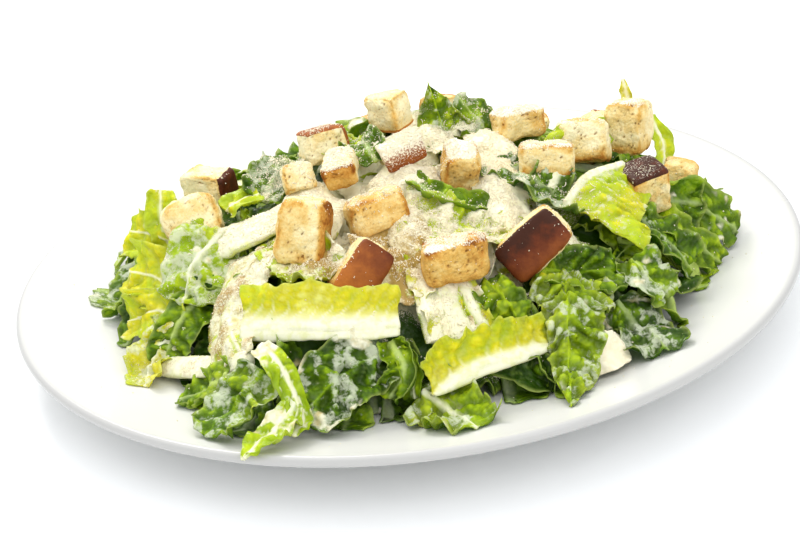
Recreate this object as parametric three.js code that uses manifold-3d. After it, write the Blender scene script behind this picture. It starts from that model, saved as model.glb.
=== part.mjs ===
// Caesar salad on its plate: a heap of dressed romaine, toasted bread croutons and one
// shaving of hard cheese on a round coupe plate.
// Millimetres, +Z up. The origin is on the table, under the middle of the plate.

import * as THREE from 'three';
import Module from 'manifold-3d';
import { mergeVertices } from 'three/addons/utils/BufferGeometryUtils.js';

const wasm = await Module();
wasm.setup();

// ---- driving dimensions ----

// Coupe plate, 28 cm across: a flat well, one rising curve to a round lip, a foot ring below.
const rimRadius = 140;
const wellRadius = 72;
const wellHeight = 7;
const rimRise = 17.5;
const riseExponent = 1.7;
const plateWall = 4;
const lipRadius = 1.7;
const footInner = 57.5;
const footOuter = 62;
const plateSectors = 64;

// The heap of leaves. Its outline on the plate is an oval, longer from side to side, with
// leaf tips that reach out further at some directions (degrees from +X).
const heapCentre = [0, 4];
const heapRight = 113;
const heapLeft = 108;
const heapFront = 96;
const heapBack = 92;
const heapHeight = 51;
const edgeThickness = 5;
const heapGap = 0.5;
const leafTips = [
  { angle: -114, halfWidth: 12, reach: 30 },
  { angle: -88, halfWidth: 9, reach: 14 },
  { angle: -67, halfWidth: 9, reach: 14 },
  { angle: -42, halfWidth: 11, reach: 6 },
  { angle: -12, halfWidth: 8, reach: 5 },
  { angle: 20, halfWidth: 10, reach: 6 },
  { angle: 48, halfWidth: 7, reach: 5 },
  { angle: 74, halfWidth: 8, reach: 8 },
  { angle: 98, halfWidth: 7, reach: 4 },
  { angle: 122, halfWidth: 8, reach: 8 },
  { angle: 146, halfWidth: 8, reach: 6 },
  { angle: 170, halfWidth: 10, reach: 6 },
];
// Broad rises and hollows on top of the heap.
const mounds = [
  { x: 85, y: 5, radius: 24, height: 9 },
  { x: 20, y: 25, radius: 22, height: 6 },
  { x: -46, y: 36, radius: 26, height: -6 },
];
// Leaves lying over each other: broad waves, and narrower folds on them.
const waveHeight = 3;
const foldHeight = 2.4;
const heapSectors = 72;
const heapRings = 13;
const undersideRings = 5;

// Croutons: the place of the middle, the size across, deep and high, then the turn about Z,
// the lean back and the roll, in degrees.
const croutons = [
  { x: -71, y: -21, z: 49, size: [22, 17, 17], turn: 15, lean: 35, roll: -10 },
  { x: -67, y: 8, z: 51, size: [12, 20, 11], turn: 60, lean: 0, roll: -5 },
  { x: -24, y: 2, z: 62.5, size: [17, 16, 13], turn: 20, lean: 15, roll: 0 },
  { x: -18, y: -23, z: 62.5, size: [13, 16, 10], turn: -5, lean: -8, roll: -10 },
  { x: -33, y: -21, z: 60, size: [12, 13, 11], turn: 10, lean: 30, roll: 0 },
  { x: -31, y: -56, z: 56, size: [17, 15, 22], turn: -12, lean: 15, roll: 10 },
  { x: -7.5, y: -44.5, z: 54.5, size: [21, 18, 14], turn: 10, lean: 15, roll: -10 },
  { x: -14.5, y: -71.5, z: 47, size: [14, 15, 19], turn: 12, lean: 20, roll: 45 },
  { x: 1, y: 8, z: 70, size: [14, 14, 14], turn: 52, lean: 5, roll: 0 },
  { x: 3, y: -18, z: 64.5, size: [16, 14, 9], turn: 10, lean: 0, roll: -14 },
  { x: 22, y: -26, z: 58.5, size: [14, 15, 18], turn: 0, lean: -16, roll: 5 },
  { x: 46, y: 8, z: 59.5, size: [20, 16, 12], turn: 15, lean: 10, roll: 0 },
  { x: 51, y: -25, z: 57, size: [20, 16, 13], turn: -5, lean: 15, roll: 5 },
  { x: 68, y: -1, z: 52, size: [19, 15, 17], turn: -20, lean: 30, roll: -5 },
  { x: 87, y: 13, z: 50.5, size: [17, 15, 21], turn: -35, lean: 10, roll: 0 },
  { x: 84, y: -24, z: 42, size: [16, 16, 18], turn: 15, lean: -10, roll: -8 },
  { x: 15, y: -69.5, z: 46.5, size: [22, 16, 14], turn: 0, lean: 8, roll: -4 },
  { x: 40.5, y: -63, z: 45, size: [15, 16, 23], turn: -10, lean: 18, roll: 50 },
  { x: 1, y: 46, z: 55.5, size: [14, 15, 12], turn: 25, lean: 0, roll: 15 },
  { x: 21, y: 60, z: 50.5, size: [15, 13, 11], turn: -30, lean: 10, roll: 0 },
  { x: 56, y: 58, z: 39.5, size: [14, 15, 12], turn: 10, lean: -20, roll: 8 },
  { x: 80, y: 43, z: 39, size: [16, 14, 12], turn: 40, lean: 0, roll: -12 },
  { x: 21, y: 82, z: 35.5, size: [14, 14, 13], turn: -15, lean: -20, roll: 25 },
  { x: -4, y: 73, z: 39, size: [15, 14, 13], turn: 35, lean: -20, roll: 0 },
  { x: -28, y: 85, z: 32, size: [13, 12, 11], turn: -25, lean: -30, roll: 10 },
  { x: -72, y: 70, z: 24.5, size: [13, 12, 11], turn: 10, lean: -25, roll: -15 },
  { x: 43, y: 82, z: 30.5, size: [14, 13, 11], turn: 50, lean: -20, roll: 20 },
  { x: 84, y: 68, z: 22, size: [15, 14, 14], turn: 15, lean: -30, roll: -10 },
  { x: 101, y: -4, z: 35.5, size: [14, 15, 12], turn: -20, lean: 10, roll: 12 },
];
const cornerPower = 8;
const seatGap = 0.45;

// The curled flake of cheese that has slid down to the front right of the heap.
const flake = { x: 58, y: -94, rise: 8.2, width: 17, height: 13, thickness: 1.8, curl: 0.07 };
const flakeTurn = 35;
const flakeLean = 48;

const rad = THREE.MathUtils.degToRad;

// ---- surfaces that the pieces share ----

function plateTop(r) {
  const t = Math.max(0, (r - wellRadius) / (rimRadius - wellRadius));
  return wellHeight + rimRise * t ** riseExponent;
}

function outlineRadius(angle) {
  const across = Math.cos(angle) < 0 ? heapLeft : heapRight;
  const deep = Math.sin(angle) < 0 ? heapFront : heapBack;
  let radius = 1 / Math.hypot(Math.cos(angle) / across, Math.sin(angle) / deep);
  for (const tip of leafTips) {
    const apart = THREE.MathUtils.euclideanModulo(angle - rad(tip.angle) + Math.PI, 2 * Math.PI);
    const away = THREE.MathUtils.radToDeg(apart - Math.PI) / tip.halfWidth;
    radius += tip.reach * Math.exp(-away * away);
  }
  return radius;
}

function heapTop(x, y) {
  const dx = x - heapCentre[0];
  const dy = y - heapCentre[1];
  const t = Math.min(1, Math.hypot(dx, dy) / outlineRadius(Math.atan2(dy, dx)));
  const dome = (1 - t ** 2.2) ** 0.85;
  const wave = Math.sin(x / 8.5 + 1.3 * Math.sin(y / 15)) * Math.sin(y / 10 + 1.1 * Math.sin(x / 19));
  const fold = Math.sin(x / 4.6 + 1.6 * Math.sin(y / 9)) * Math.cos(y / 5.4 + Math.sin(x / 11));
  let z = plateTop(Math.hypot(x, y)) + edgeThickness + (heapHeight - edgeThickness) * dome;
  z += (waveHeight * wave + foldHeight * fold) * Math.sqrt(dome);
  for (const m of mounds) {
    const away = ((x - m.x) ** 2 + (y - m.y) ** 2) / m.radius ** 2;
    z += m.height * Math.exp(-away) * Math.sqrt(dome);
  }
  return z;
}

// ---- solid helpers ----

function bare(geometry) {
  geometry.deleteAttribute('normal');
  geometry.deleteAttribute('uv');
  return mergeVertices(geometry, 1e-4);
}

function toSolid(geometry) {
  const vertProperties = Float32Array.from(geometry.attributes.position.array);
  const triVerts = Uint32Array.from(geometry.index.array);
  return new wasm.Manifold(new wasm.Mesh({ numProp: 3, vertProperties, triVerts }));
}

function toGeometry(solid) {
  const mesh = solid.getMesh();
  const geometry = new THREE.BufferGeometry();
  geometry.setAttribute('position', new THREE.BufferAttribute(mesh.vertProperties, 3));
  geometry.setIndex(new THREE.BufferAttribute(mesh.triVerts, 1));
  return geometry;
}

function largestBody(solid) {
  return solid.decompose().reduce((a, b) => (a.volume() > b.volume() ? a : b));
}

// ---- plate ----

function plateGeometry() {
  const lipCentre = rimRadius - lipRadius;
  const profile = [[0, plateWall - 1], [footInner, plateWall - 1], [footInner + 0.5, 0]];
  profile.push([footOuter, 0], [footOuter + 3, plateWall - 1]);
  for (const t of [0.25, 0.5, 0.75]) {
    const r = wellRadius + t * (rimRadius - wellRadius);
    profile.push([r, plateTop(r) - plateWall]);
  }
  const lipTop = plateTop(lipCentre);
  for (const angle of [-90, -45, 0, 45, 90]) {
    const c = Math.cos(rad(angle));
    const s = Math.sin(rad(angle));
    profile.push([lipCentre + lipRadius * c, lipTop - lipRadius + lipRadius * s]);
  }
  for (const t of [0.83, 0.68, 0.52, 0.35, 0.18]) {
    const r = wellRadius + t * (rimRadius - wellRadius);
    profile.push([r, plateTop(r)]);
  }
  profile.push([wellRadius, wellHeight], [0, wellHeight]);
  const points = profile.map(([r, z]) => new THREE.Vector2(r, z));
  return bare(new THREE.LatheGeometry(points, plateSectors)).rotateX(Math.PI / 2);
}

// ---- heap ----

// A closed skin of rings: over the top from the middle to the edge, then back underneath.
function heapGeometry() {
  const rings = [];
  for (let i = 1; i <= heapRings; i++) {
    rings.push({ share: (i / heapRings) ** 0.8, top: true });
  }
  for (let i = undersideRings; i >= 1; i--) {
    rings.push({ share: i / undersideRings, top: false });
  }
  const height = (x, y, top) => (top ? heapTop(x, y) : plateTop(Math.hypot(x, y)) + heapGap);
  const [cx, cy] = heapCentre;
  const positions = [cx, cy, height(cx, cy, true)];
  for (const ring of rings) {
    for (let s = 0; s < heapSectors; s++) {
      const angle = (2 * Math.PI * s) / heapSectors;
      const radius = ring.share * outlineRadius(angle);
      const x = cx + radius * Math.cos(angle);
      const y = cy + radius * Math.sin(angle);
      positions.push(x, y, height(x, y, ring.top));
    }
  }
  positions.push(cx, cy, height(cx, cy, false));
  const last = positions.length / 3 - 1;
  const at = (ring, s) => 1 + ring * heapSectors + (s % heapSectors);
  const index = [];
  for (let s = 0; s < heapSectors; s++) {
    index.push(0, at(0, s), at(0, s + 1));
    for (let ring = 0; ring < rings.length - 1; ring++) {
      index.push(at(ring, s), at(ring + 1, s), at(ring + 1, s + 1));
      index.push(at(ring, s), at(ring + 1, s + 1), at(ring, s + 1));
    }
    index.push(last, at(rings.length - 1, s + 1), at(rings.length - 1, s));
  }
  const geometry = new THREE.BufferGeometry();
  geometry.setAttribute('position', new THREE.Float32BufferAttribute(positions, 3));
  geometry.setIndex(index);
  return geometry;
}

// ---- croutons ----

// A cube of bread with worn corners, a little narrower at the top and sheared, so that no
// two are quite alike. The gap grows it evenly, for cutting its seat.
function croutonGeometry(size, number, gap = 0) {
  const geometry = bare(new THREE.BoxGeometry(2, 2, 2, 2, 2, 2));
  const p = geometry.attributes.position;
  const shear = 0.05 * Math.sin(2.4 * number);
  const taper = 0.05 + 0.04 * Math.sin(1.7 * number);
  for (let i = 0; i < p.count; i++) {
    const v = new THREE.Vector3().fromBufferAttribute(p, i);
    const sum = Math.abs(v.x) ** cornerPower + Math.abs(v.y) ** cornerPower + Math.abs(v.z) ** cornerPower;
    v.multiplyScalar(sum ** (-1 / cornerPower));
    const narrow = 1 - taper * 0.5 * (1 + v.z);
    v.x = v.x * narrow + shear * v.z;
    v.y = v.y * narrow - shear * v.x;
    p.setXYZ(i, v.x * (size[0] / 2 + gap), v.y * (size[1] / 2 + gap), v.z * (size[2] / 2 + gap));
  }
  return geometry;
}

// ---- cheese flake ----

// A thin slab with a ragged outline, bent round an upright axis.
function flakeGeometry(gap = 0) {
  const w = flake.width / 2 + gap;
  const h = flake.height / 2 + gap;
  const outline = new THREE.Shape();
  outline.moveTo(-w, -h * 0.8);
  outline.quadraticCurveTo(-w * 0.2, -h * 1.1, w * 0.6, -h * 0.9);
  outline.quadraticCurveTo(w, -h * 0.2, w * 0.9, h * 0.4);
  outline.quadraticCurveTo(w * 0.4, h * 0.8, -w * 0.1, h);
  outline.quadraticCurveTo(-w * 0.8, h * 0.5, -w, -h * 0.8);
  const depth = flake.thickness + 2 * gap;
  const slab = new THREE.ExtrudeGeometry(outline, { depth, bevelEnabled: false, curveSegments: 5 });
  slab.translate(0, 0, -depth / 2);
  const geometry = bare(slab);
  const p = geometry.attributes.position;
  for (let i = 0; i < p.count; i++) {
    p.setZ(i, p.getZ(i) - flake.curl * p.getX(i) ** 2);
  }
  return geometry;
}

// ---- assembly ----

const look = (color, roughness) => new THREE.MeshStandardMaterial({ color, roughness, metalness: 0 });
const glaze = look(0xefece4, 0.25);
const romaine = look(0x86a03c, 0.5);
const toast = look(0xd9ac68, 0.85);
const cheese = look(0xf1e3bd, 0.6);

const salad = new THREE.Group();
const seats = [];

function add(name, geometry, material, place) {
  const mesh = new THREE.Mesh(geometry, material);
  mesh.name = name;
  if (place) {
    mesh.applyMatrix4(place);
  }
  salad.add(mesh);
}

function placeOf(x, y, z, turn, lean, roll) {
  const euler = new THREE.Euler(rad(-lean), rad(roll), rad(turn), 'ZXY');
  return new THREE.Matrix4().makeRotationFromEuler(euler).setPosition(x, y, z);
}

add('plate', plateGeometry(), glaze);

croutons.forEach((c, i) => {
  const place = placeOf(c.x, c.y, c.z, c.turn, c.lean, c.roll);
  const name = 'crouton_' + String(i + 1).padStart(2, '0');
  add(name, croutonGeometry(c.size, i + 1), toast, place);
  seats.push(croutonGeometry(c.size, i + 1, seatGap).applyMatrix4(place));
});

const flakeZ = plateTop(Math.hypot(flake.x, flake.y)) + flake.rise;
const flakePlace = placeOf(flake.x, flake.y, flakeZ, flakeTurn, -flakeLean, 0);
add('cheese_flake', flakeGeometry(), cheese, flakePlace);
seats.push(flakeGeometry(seatGap).applyMatrix4(flakePlace));

let heap = toSolid(heapGeometry());
for (const seat of seats) {
  heap = heap.subtract(toSolid(seat));
}
add('lettuce_heap', toGeometry(largestBody(heap)), romaine);

export default salad;
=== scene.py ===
import math

import bpy
import numpy as np
from mathutils import Matrix, Vector
from mathutils.bvhtree import BVHTree


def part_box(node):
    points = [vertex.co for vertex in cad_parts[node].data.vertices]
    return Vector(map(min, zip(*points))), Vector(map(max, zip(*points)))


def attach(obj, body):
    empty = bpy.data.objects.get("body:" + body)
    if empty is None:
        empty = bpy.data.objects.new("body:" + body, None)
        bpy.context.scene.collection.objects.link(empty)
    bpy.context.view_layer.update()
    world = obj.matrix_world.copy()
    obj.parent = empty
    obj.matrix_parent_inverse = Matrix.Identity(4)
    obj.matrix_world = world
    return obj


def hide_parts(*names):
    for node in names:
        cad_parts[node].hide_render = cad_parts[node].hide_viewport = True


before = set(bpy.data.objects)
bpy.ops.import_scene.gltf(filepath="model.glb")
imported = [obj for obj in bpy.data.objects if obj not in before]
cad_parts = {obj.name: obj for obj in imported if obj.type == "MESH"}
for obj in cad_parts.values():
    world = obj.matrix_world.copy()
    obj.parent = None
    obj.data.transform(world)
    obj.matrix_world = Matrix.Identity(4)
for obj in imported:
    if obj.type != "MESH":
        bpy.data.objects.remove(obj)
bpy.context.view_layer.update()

mm = 0.001  # the tables below are in millimetres, Blender works in metres


# the camera looks down at the front of the plate, rolled a little

viewPoint = {
    "aim": (-2.4, 0, 12),
    "distance": 480,
    "elevation": 26,
    "roll": -7.3,
    "lens": 58.4,
    "sensor": 36.0,
}


def addObject(name, data):
    made = bpy.data.objects.new(name, data)
    bpy.context.scene.collection.objects.link(made)
    return made


def makeCamera():
    camera = addObject("camera", bpy.data.cameras.new("camera"))
    tilt = Matrix.Rotation(math.radians(90 - viewPoint["elevation"]), 4, "X")
    turn = tilt @ Matrix.Rotation(math.radians(viewPoint["roll"]), 4, "Z")
    away = Matrix.Translation((0, 0, viewPoint["distance"] * mm))
    camera.matrix_world = Matrix.Translation(Vector(viewPoint["aim"]) * mm) @ turn @ away
    camera.data.lens = viewPoint["lens"]
    camera.data.sensor_width = viewPoint["sensor"]
    camera.data.clip_start = 0.01
    bpy.context.scene.camera = camera


makeCamera()
print("camera placed")


# shader maths

def rgb(red, green, blue):
    # a screen colour out of 255 as the linear colour that the shaders take
    parts = [c / 255 for c in (red, green, blue)]
    return tuple(c / 12.92 if c < 0.04 else ((c + 0.055) / 1.055) ** 2.4 for c in parts) + (1.0,)


class Value:
    # one socket; arithmetic on it adds Math nodes

    def __init__(self, tree, socket):
        self.tree = tree
        self.socket = socket

    def math(self, operation, first, second=0.0):
        node = self.tree.nodes.new("ShaderNodeMath")
        node.operation = operation
        feed(self.tree, node.inputs[0], first)
        feed(self.tree, node.inputs[1], second)
        return Value(self.tree, node.outputs[0])

    def __add__(self, other):
        return self.math("ADD", self, other)

    def __radd__(self, other):
        return self.math("ADD", other, self)

    def __sub__(self, other):
        return self.math("SUBTRACT", self, other)

    def __rsub__(self, other):
        return self.math("SUBTRACT", other, self)

    def __mul__(self, other):
        return self.math("MULTIPLY", self, other)

    def __rmul__(self, other):
        return self.math("MULTIPLY", other, self)


def feed(tree, socket, value):
    if isinstance(value, Value):
        tree.links.new(value.socket, socket)
    else:
        socket.default_value = value


class Finish:
    # a material with one Principled shader

    def __init__(self, name):
        self.material = bpy.data.materials.new(name)
        self.material.use_nodes = True
        self.tree = self.material.node_tree
        self.shader = self.tree.nodes["Principled BSDF"]

    def node(self, kind, settings=None, sockets=None, output=0):
        made = self.tree.nodes.new(kind)
        for key, setting in (settings or {}).items():
            if key == "stops":
                ramp = made.color_ramp.elements
                while len(ramp) < len(setting):
                    ramp.new(0.5)
                for element, (position, colour) in zip(ramp, setting):
                    element.position = position
                    element.color = colour
            else:
                setattr(made, key, setting)
        for key, value in (sockets or {}).items():
            feed(self.tree, made.inputs[key], value)
        return Value(self.tree, made.outputs[output])

    def field(self, name):
        return self.node("ShaderNodeAttribute", {"attribute_name": name}, output="Fac")

    def noise(self, width, detail=2.0, roughness=0.5):
        # patches about width millimetres across
        place = self.node("ShaderNodeTexCoord", output="Object")
        sockets = {"Vector": place, "Scale": 1 / (width * mm), "Detail": detail, "Roughness": roughness}
        return self.node("ShaderNodeTexNoise", None, sockets)

    def cells(self, width):
        place = self.node("ShaderNodeTexCoord", output="Object")
        return self.node("ShaderNodeTexVoronoi", None, {"Vector": place, "Scale": 1 / (width * mm)})

    def step(self, value, low, high):
        # 0 below low, 1 above high, smooth between
        sockets = {"Value": value, "From Min": low, "From Max": high}
        return self.node("ShaderNodeMapRange", {"interpolation_type": "SMOOTHSTEP"}, sockets)

    def mix(self, share, first, second):
        # sockets 6, 7 and 2 are the Mix node's two colours and its colour out
        return self.node("ShaderNodeMix", {"data_type": "RGBA"}, {0: share, 6: first, 7: second}, output=2)

    def ramp(self, value, stops):
        return self.node("ShaderNodeValToRGB", {"stops": stops}, {"Fac": value})

    def bump(self, height, depth):
        # depth in millimetres
        return self.node("ShaderNodeBump", None, {"Height": height, "Distance": depth * mm}, output="Normal")

    def set(self, **sockets):
        for key, value in sockets.items():
            feed(self.tree, self.shader.inputs[key.replace("_", " ")], value)


# noise for the meshes

lattice = np.random.default_rng(7).random((32, 32, 32))


def noiseAt(points, width, shift=0.0):
    # smooth noise from 0 to 1 with blobs about width across
    place = np.asarray(points, float) / width + shift
    cell = np.floor(place).astype(int)
    part = place - cell
    part = part * part * (3 - 2 * part)
    total = np.zeros(place.shape[:-1])
    for corner in np.ndindex(2, 2, 2):
        step = np.array(corner)
        weight = np.prod(np.where(step == 1, part, 1 - part), axis=-1)
        i, j, k = np.moveaxis((cell + step) % 32, -1, 0)
        total += weight * lattice[i, j, k]
    return total


def cloudAt(points, width, shift=0.0):
    # two sizes of noise, spread so that it fills 0 to 1
    mixed = 0.65 * noiseAt(points, width, shift) + 0.35 * noiseAt(points, width / 2.1, shift + 11.3)
    return np.clip((mixed - 0.5) * 1.7 + 0.5, 0, 1)


def cellsAt(points, width, seed):
    # distances to the nearest and second nearest of scattered seeds, in cell widths
    place = np.asarray(points, float) / width
    cell = np.floor(place).astype(int)
    size = place.shape[-1]
    jitter = np.random.default_rng(seed).random((17, 19, 23, size) if size == 3 else (29, 31, size))
    wrap = np.array(jitter.shape[:-1])
    first = np.full(place.shape[:-1], 9.0)
    second = np.full(place.shape[:-1], 9.0)
    for corner in np.ndindex(*(3,) * size):
        near = cell + np.array(corner) - 1
        seedPlace = near + jitter[tuple(np.moveaxis(near % wrap, -1, 0))]
        away = np.linalg.norm(place - seedPlace, axis=-1)
        second = np.where(away < first, first, np.minimum(second, away))
        first = np.minimum(first, away)
    return first, second


def smooth(value, low, high):
    t = np.clip((value - low) / (high - low), 0, 1)
    return t * t * (3 - 2 * t)


def unit(vectors):
    vectors = np.asarray(vectors, float)
    return vectors / np.maximum(np.linalg.norm(vectors, axis=-1, keepdims=True), 1e-9)


# mesh helpers

def makePiece(name, points, faces, finishes, fields=None, finishOfFace=None):
    mesh = bpy.data.meshes.new(name)
    faces = faces.tolist() if isinstance(faces, np.ndarray) else faces
    mesh.from_pydata((np.asarray(points) * mm).tolist(), [], faces)
    for finish in finishes:
        mesh.materials.append(finish)
    mesh.polygons.foreach_set("use_smooth", np.ones(len(mesh.polygons), bool))
    if finishOfFace is not None:
        mesh.polygons.foreach_set("material_index", np.asarray(finishOfFace, np.int32))
    for key, values in (fields or {}).items():
        attribute = mesh.attributes.new(key, "FLOAT", "POINT")
        attribute.data.foreach_set("value", np.asarray(values, np.float32))
    mesh.update()
    piece = addObject(name, mesh)
    return piece


def lathe(profile, sectors):
    # points and faces of a closed profile turned about Z; its two ends are on the axis
    profile = np.asarray(profile, float)
    angles = np.linspace(0, 2 * np.pi, sectors, endpoint=False)
    ring = profile[1:-1]
    x = ring[:, None, 0] * np.cos(angles)
    y = ring[:, None, 0] * np.sin(angles)
    z = np.broadcast_to(ring[:, None, 1], x.shape)
    ends = [[0, 0, profile[0, 1]], [0, 0, profile[-1, 1]]]
    points = np.vstack([np.stack([x, y, z], -1).reshape(-1, 3), ends])
    faces = []
    last = (len(ring) - 1) * sectors
    for s in range(sectors):
        after = (s + 1) % sectors
        for low in range(0, last, sectors):
            high = low + sectors
            faces.append((low + s, low + after, high + after, high + s))
        faces.append((len(points) - 2, after, s))
        faces.append((last + s, last + after, len(points) - 1))
    return points, faces


def nodeShape(name):
    # a CAD node's corners in millimetres, and its faces
    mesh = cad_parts[name].data
    points = np.empty(len(mesh.vertices) * 3)
    mesh.vertices.foreach_get("co", points)
    return points.reshape(-1, 3) / mm, [tuple(p.vertices) for p in mesh.polygons]


# plate

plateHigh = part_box("plate")[1]
plateDish = {
    "rimRadius": plateHigh.x / mm,
    "wellRadius": 72.0,
    "wellHeight": 7.0,
    "riseExponent": 1.7,
    "wall": 4.0,
    "lipRadius": 1.7,
    "footInner": 57.5,
    "footOuter": 62.0,
    "footRound": 0.9,
    "sectors": 192,
    "glaze": rgb(228, 227, 223),
    "worn": rgb(224, 223, 217),
    # painted shade for the lip, a grey darker than the glaze
    "thin": rgb(184, 183, 180),
}


def plateSlope(radius):
    dish = plateDish
    t = np.clip((radius - dish["wellRadius"]) / (dish["rimRadius"] - dish["wellRadius"]), 0, 1)
    return t ** dish["riseExponent"]


plateRise = plateHigh.z / mm - plateDish["wellHeight"]
plateRise /= plateSlope(plateDish["rimRadius"] - plateDish["lipRadius"])


def plateTop(radius):
    return plateDish["wellHeight"] + plateRise * plateSlope(radius)


def glazeFinish():
    finish = Finish("white glaze")
    wash = finish.noise(26, 3)
    colour = finish.mix(wash, plateDish["glaze"], plateDish["worn"])
    # painted shade: the glaze turns grey over the lip
    finish.set(Base_Color=finish.mix(finish.field("thin"), colour, plateDish["thin"]))
    finish.set(Roughness=0.26 + 0.05 * wash, IOR=1.5)
    return finish.material


def makePlate():
    dish = plateDish
    lip = dish["rimRadius"] - dish["lipRadius"]
    under = dish["wall"] - 1
    profile = [(0, under), (dish["footInner"] - 1.5, under), (dish["footInner"], under - 0.6)]
    middle = (dish["footInner"] + dish["footOuter"]) / 2
    half = (dish["footOuter"] - dish["footInner"]) / 2
    for angle in np.radians(range(180, 361, 30)):  # the foot's rounded bottom
        rise = dish["footRound"] + dish["footRound"] * math.sin(angle)
        profile.append((middle + half * math.cos(angle), rise))
    profile += [(dish["footOuter"] + 0.6, under - 0.8), (dish["footOuter"] + 3, under)]
    for radius in np.linspace(dish["wellRadius"] - 4, lip - 3, 18):
        profile.append((radius, plateTop(radius) - dish["wall"]))
    lipHeight = float(plateTop(lip))
    for angle in np.radians(range(-90, 91, 15)):
        across = dish["lipRadius"] * math.cos(angle)
        rise = dish["lipRadius"] * math.sin(angle)
        profile.append((lip + across, lipHeight - dish["lipRadius"] + rise))
    for radius in np.linspace(lip - 2, dish["wellRadius"] - 8, 26):
        profile.append((radius, plateTop(radius)))
    profile += [(radius, dish["wellHeight"]) for radius in (50, 35, 20, 8, 0)]
    points, faces = lathe(profile, dish["sectors"])
    # painted shade: the lip is coloured a darker grey where it rolls over and turns from the light
    outward = np.hypot(points[:, 0], points[:, 1]) - lip
    thin = smooth(outward, -2.6, 1.2) * (1 - 0.5 * smooth(lipHeight - points[:, 2], 2.0, 4.0))
    piece = makePiece("coupe_plate", points, faces, [glazeFinish()], {"thin": thin})
    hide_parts("plate")
    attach(piece, "root")
    return piece


plate = makePlate()
print("plate made")


# croutons

croutonBread = {
    "gridFront": 27,
    "gridBack": 18,
    "firstHidden": 19,
    "corner": 4.6,  # power of the rounding: 2 gives a ball, a high one a sharp block
    "cornerCrust": 6.5,
    "taper": 0.07,
    "lumps": 1.3,
    "chips": 0.9,
    "poreDepth": 0.9,
    "poreWidth": 1.7,
    "mostOutward": 0.25,
    "cheeseColour": rgb(253, 246, 224),
    "poreShadeColour": rgb(150, 98, 46),
}

# what a block is like where its own line doesn't say. A crust is given by the faces that carry
# it; shade runs from orange 0 to nearly black 1, and drift is how it changes from the left to
# the right and from the bottom to the top of the block.

plainBlock = {
    "toast": 0.4,
    "browned": ("front", 0.0),
    "low": 0.25,
    "pale": 0.0,
    "crust": "",
    "shade": 0.3,
    "drift": (0.0, 0.0),
    "corner": None,
    "cheese": 0.3,
    "strewn": 0.0,
}

# turns are the turn, lean and roll in degrees, in the order of the CAD croutons

blocks = [
    dict(turns=(15, 35, -10), pale=0.4, corner=3.6, cheese=0.2),
    dict(turns=(60, 0, -5), toast=0.35, pale=0.4, crust="front", shade=0.9, cheese=0.4),
    dict(turns=(20, 15, 0), toast=0.3, pale=0.5, crust="top right", shade=0.5),
    dict(turns=(-5, -8, -10), toast=0.3, browned=("front", 0.42), low=0.3, cheese=0.9),
    dict(turns=(10, 30, 0), toast=0.3, pale=0.5, cheese=0.6),
    dict(turns=(-12, 15, 10), browned=("right", 0.55), cheese=0.2),
    dict(turns=(10, 15, -10), toast=0.8, pale=0.3, cheese=0.45),
    dict(turns=(12, 20, 45), toast=0.5, crust="front", shade=0.5, drift=(0.1, 0.5)),
    dict(turns=(52, 5, 0), toast=0.45, pale=0.7, crust="bottom", shade=0.2),
    dict(turns=(10, 0, -14), toast=0.3, crust="front", shade=0.55, cheese=1.0, strewn=0.32),
    dict(turns=(0, -16, 5), toast=0.75, low=1.2, pale=0.2, cheese=1.0),
    dict(turns=(15, 10, 0), toast=0.55, cheese=0.9, strewn=0.15),
    dict(turns=(-5, 15, 5), toast=0.55, cheese=0.7),
    dict(turns=(-20, 30, -5), toast=0.35, low=0.6, pale=0.5, cheese=0.7),
    dict(turns=(-35, 10, 0), toast=0.5, low=0.7, pale=0.5, cheese=0.8),
    dict(turns=(15, -10, -8), toast=0.45, crust="top", shade=1.0, cheese=0.2, strewn=0.11),
    dict(turns=(0, 8, -4), toast=1.1, cheese=0.8),
    dict(turns=(-10, 18, 50), crust="front", shade=0.88, drift=(-0.5, 0.1)),
    dict(turns=(25, 0, 15), toast=0.5, cheese=0.6),
    dict(turns=(-30, 10, 0), crust="back", shade=0.4, cheese=0.5),
    dict(turns=(10, -20, 8), toast=0.5, cheese=0.6),
    dict(turns=(40, 0, -12), toast=0.6, crust="right", shade=0.6, cheese=0.5),
    dict(turns=(-15, -20, 25), pale=0.6, cheese=0.4),
    dict(turns=(35, -20, 0), toast=0.5, crust="back", cheese=0.5),
    dict(turns=(-25, -30, 10), pale=0.5),
    dict(turns=(10, -25, -15), toast=0.6),
    dict(turns=(50, -20, 20), toast=0.5, crust="top", shade=0.7, cheese=0.2),
    dict(turns=(15, -30, -10), toast=0.5, cheese=0.4),
    dict(turns=(-20, 10, 12), toast=0.6),
]

sides = {
    "left": (0, -1), "right": (0, 1),
    "front": (1, -1), "back": (1, 1),
    "bottom": (2, -1), "top": (2, 1),
}


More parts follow.
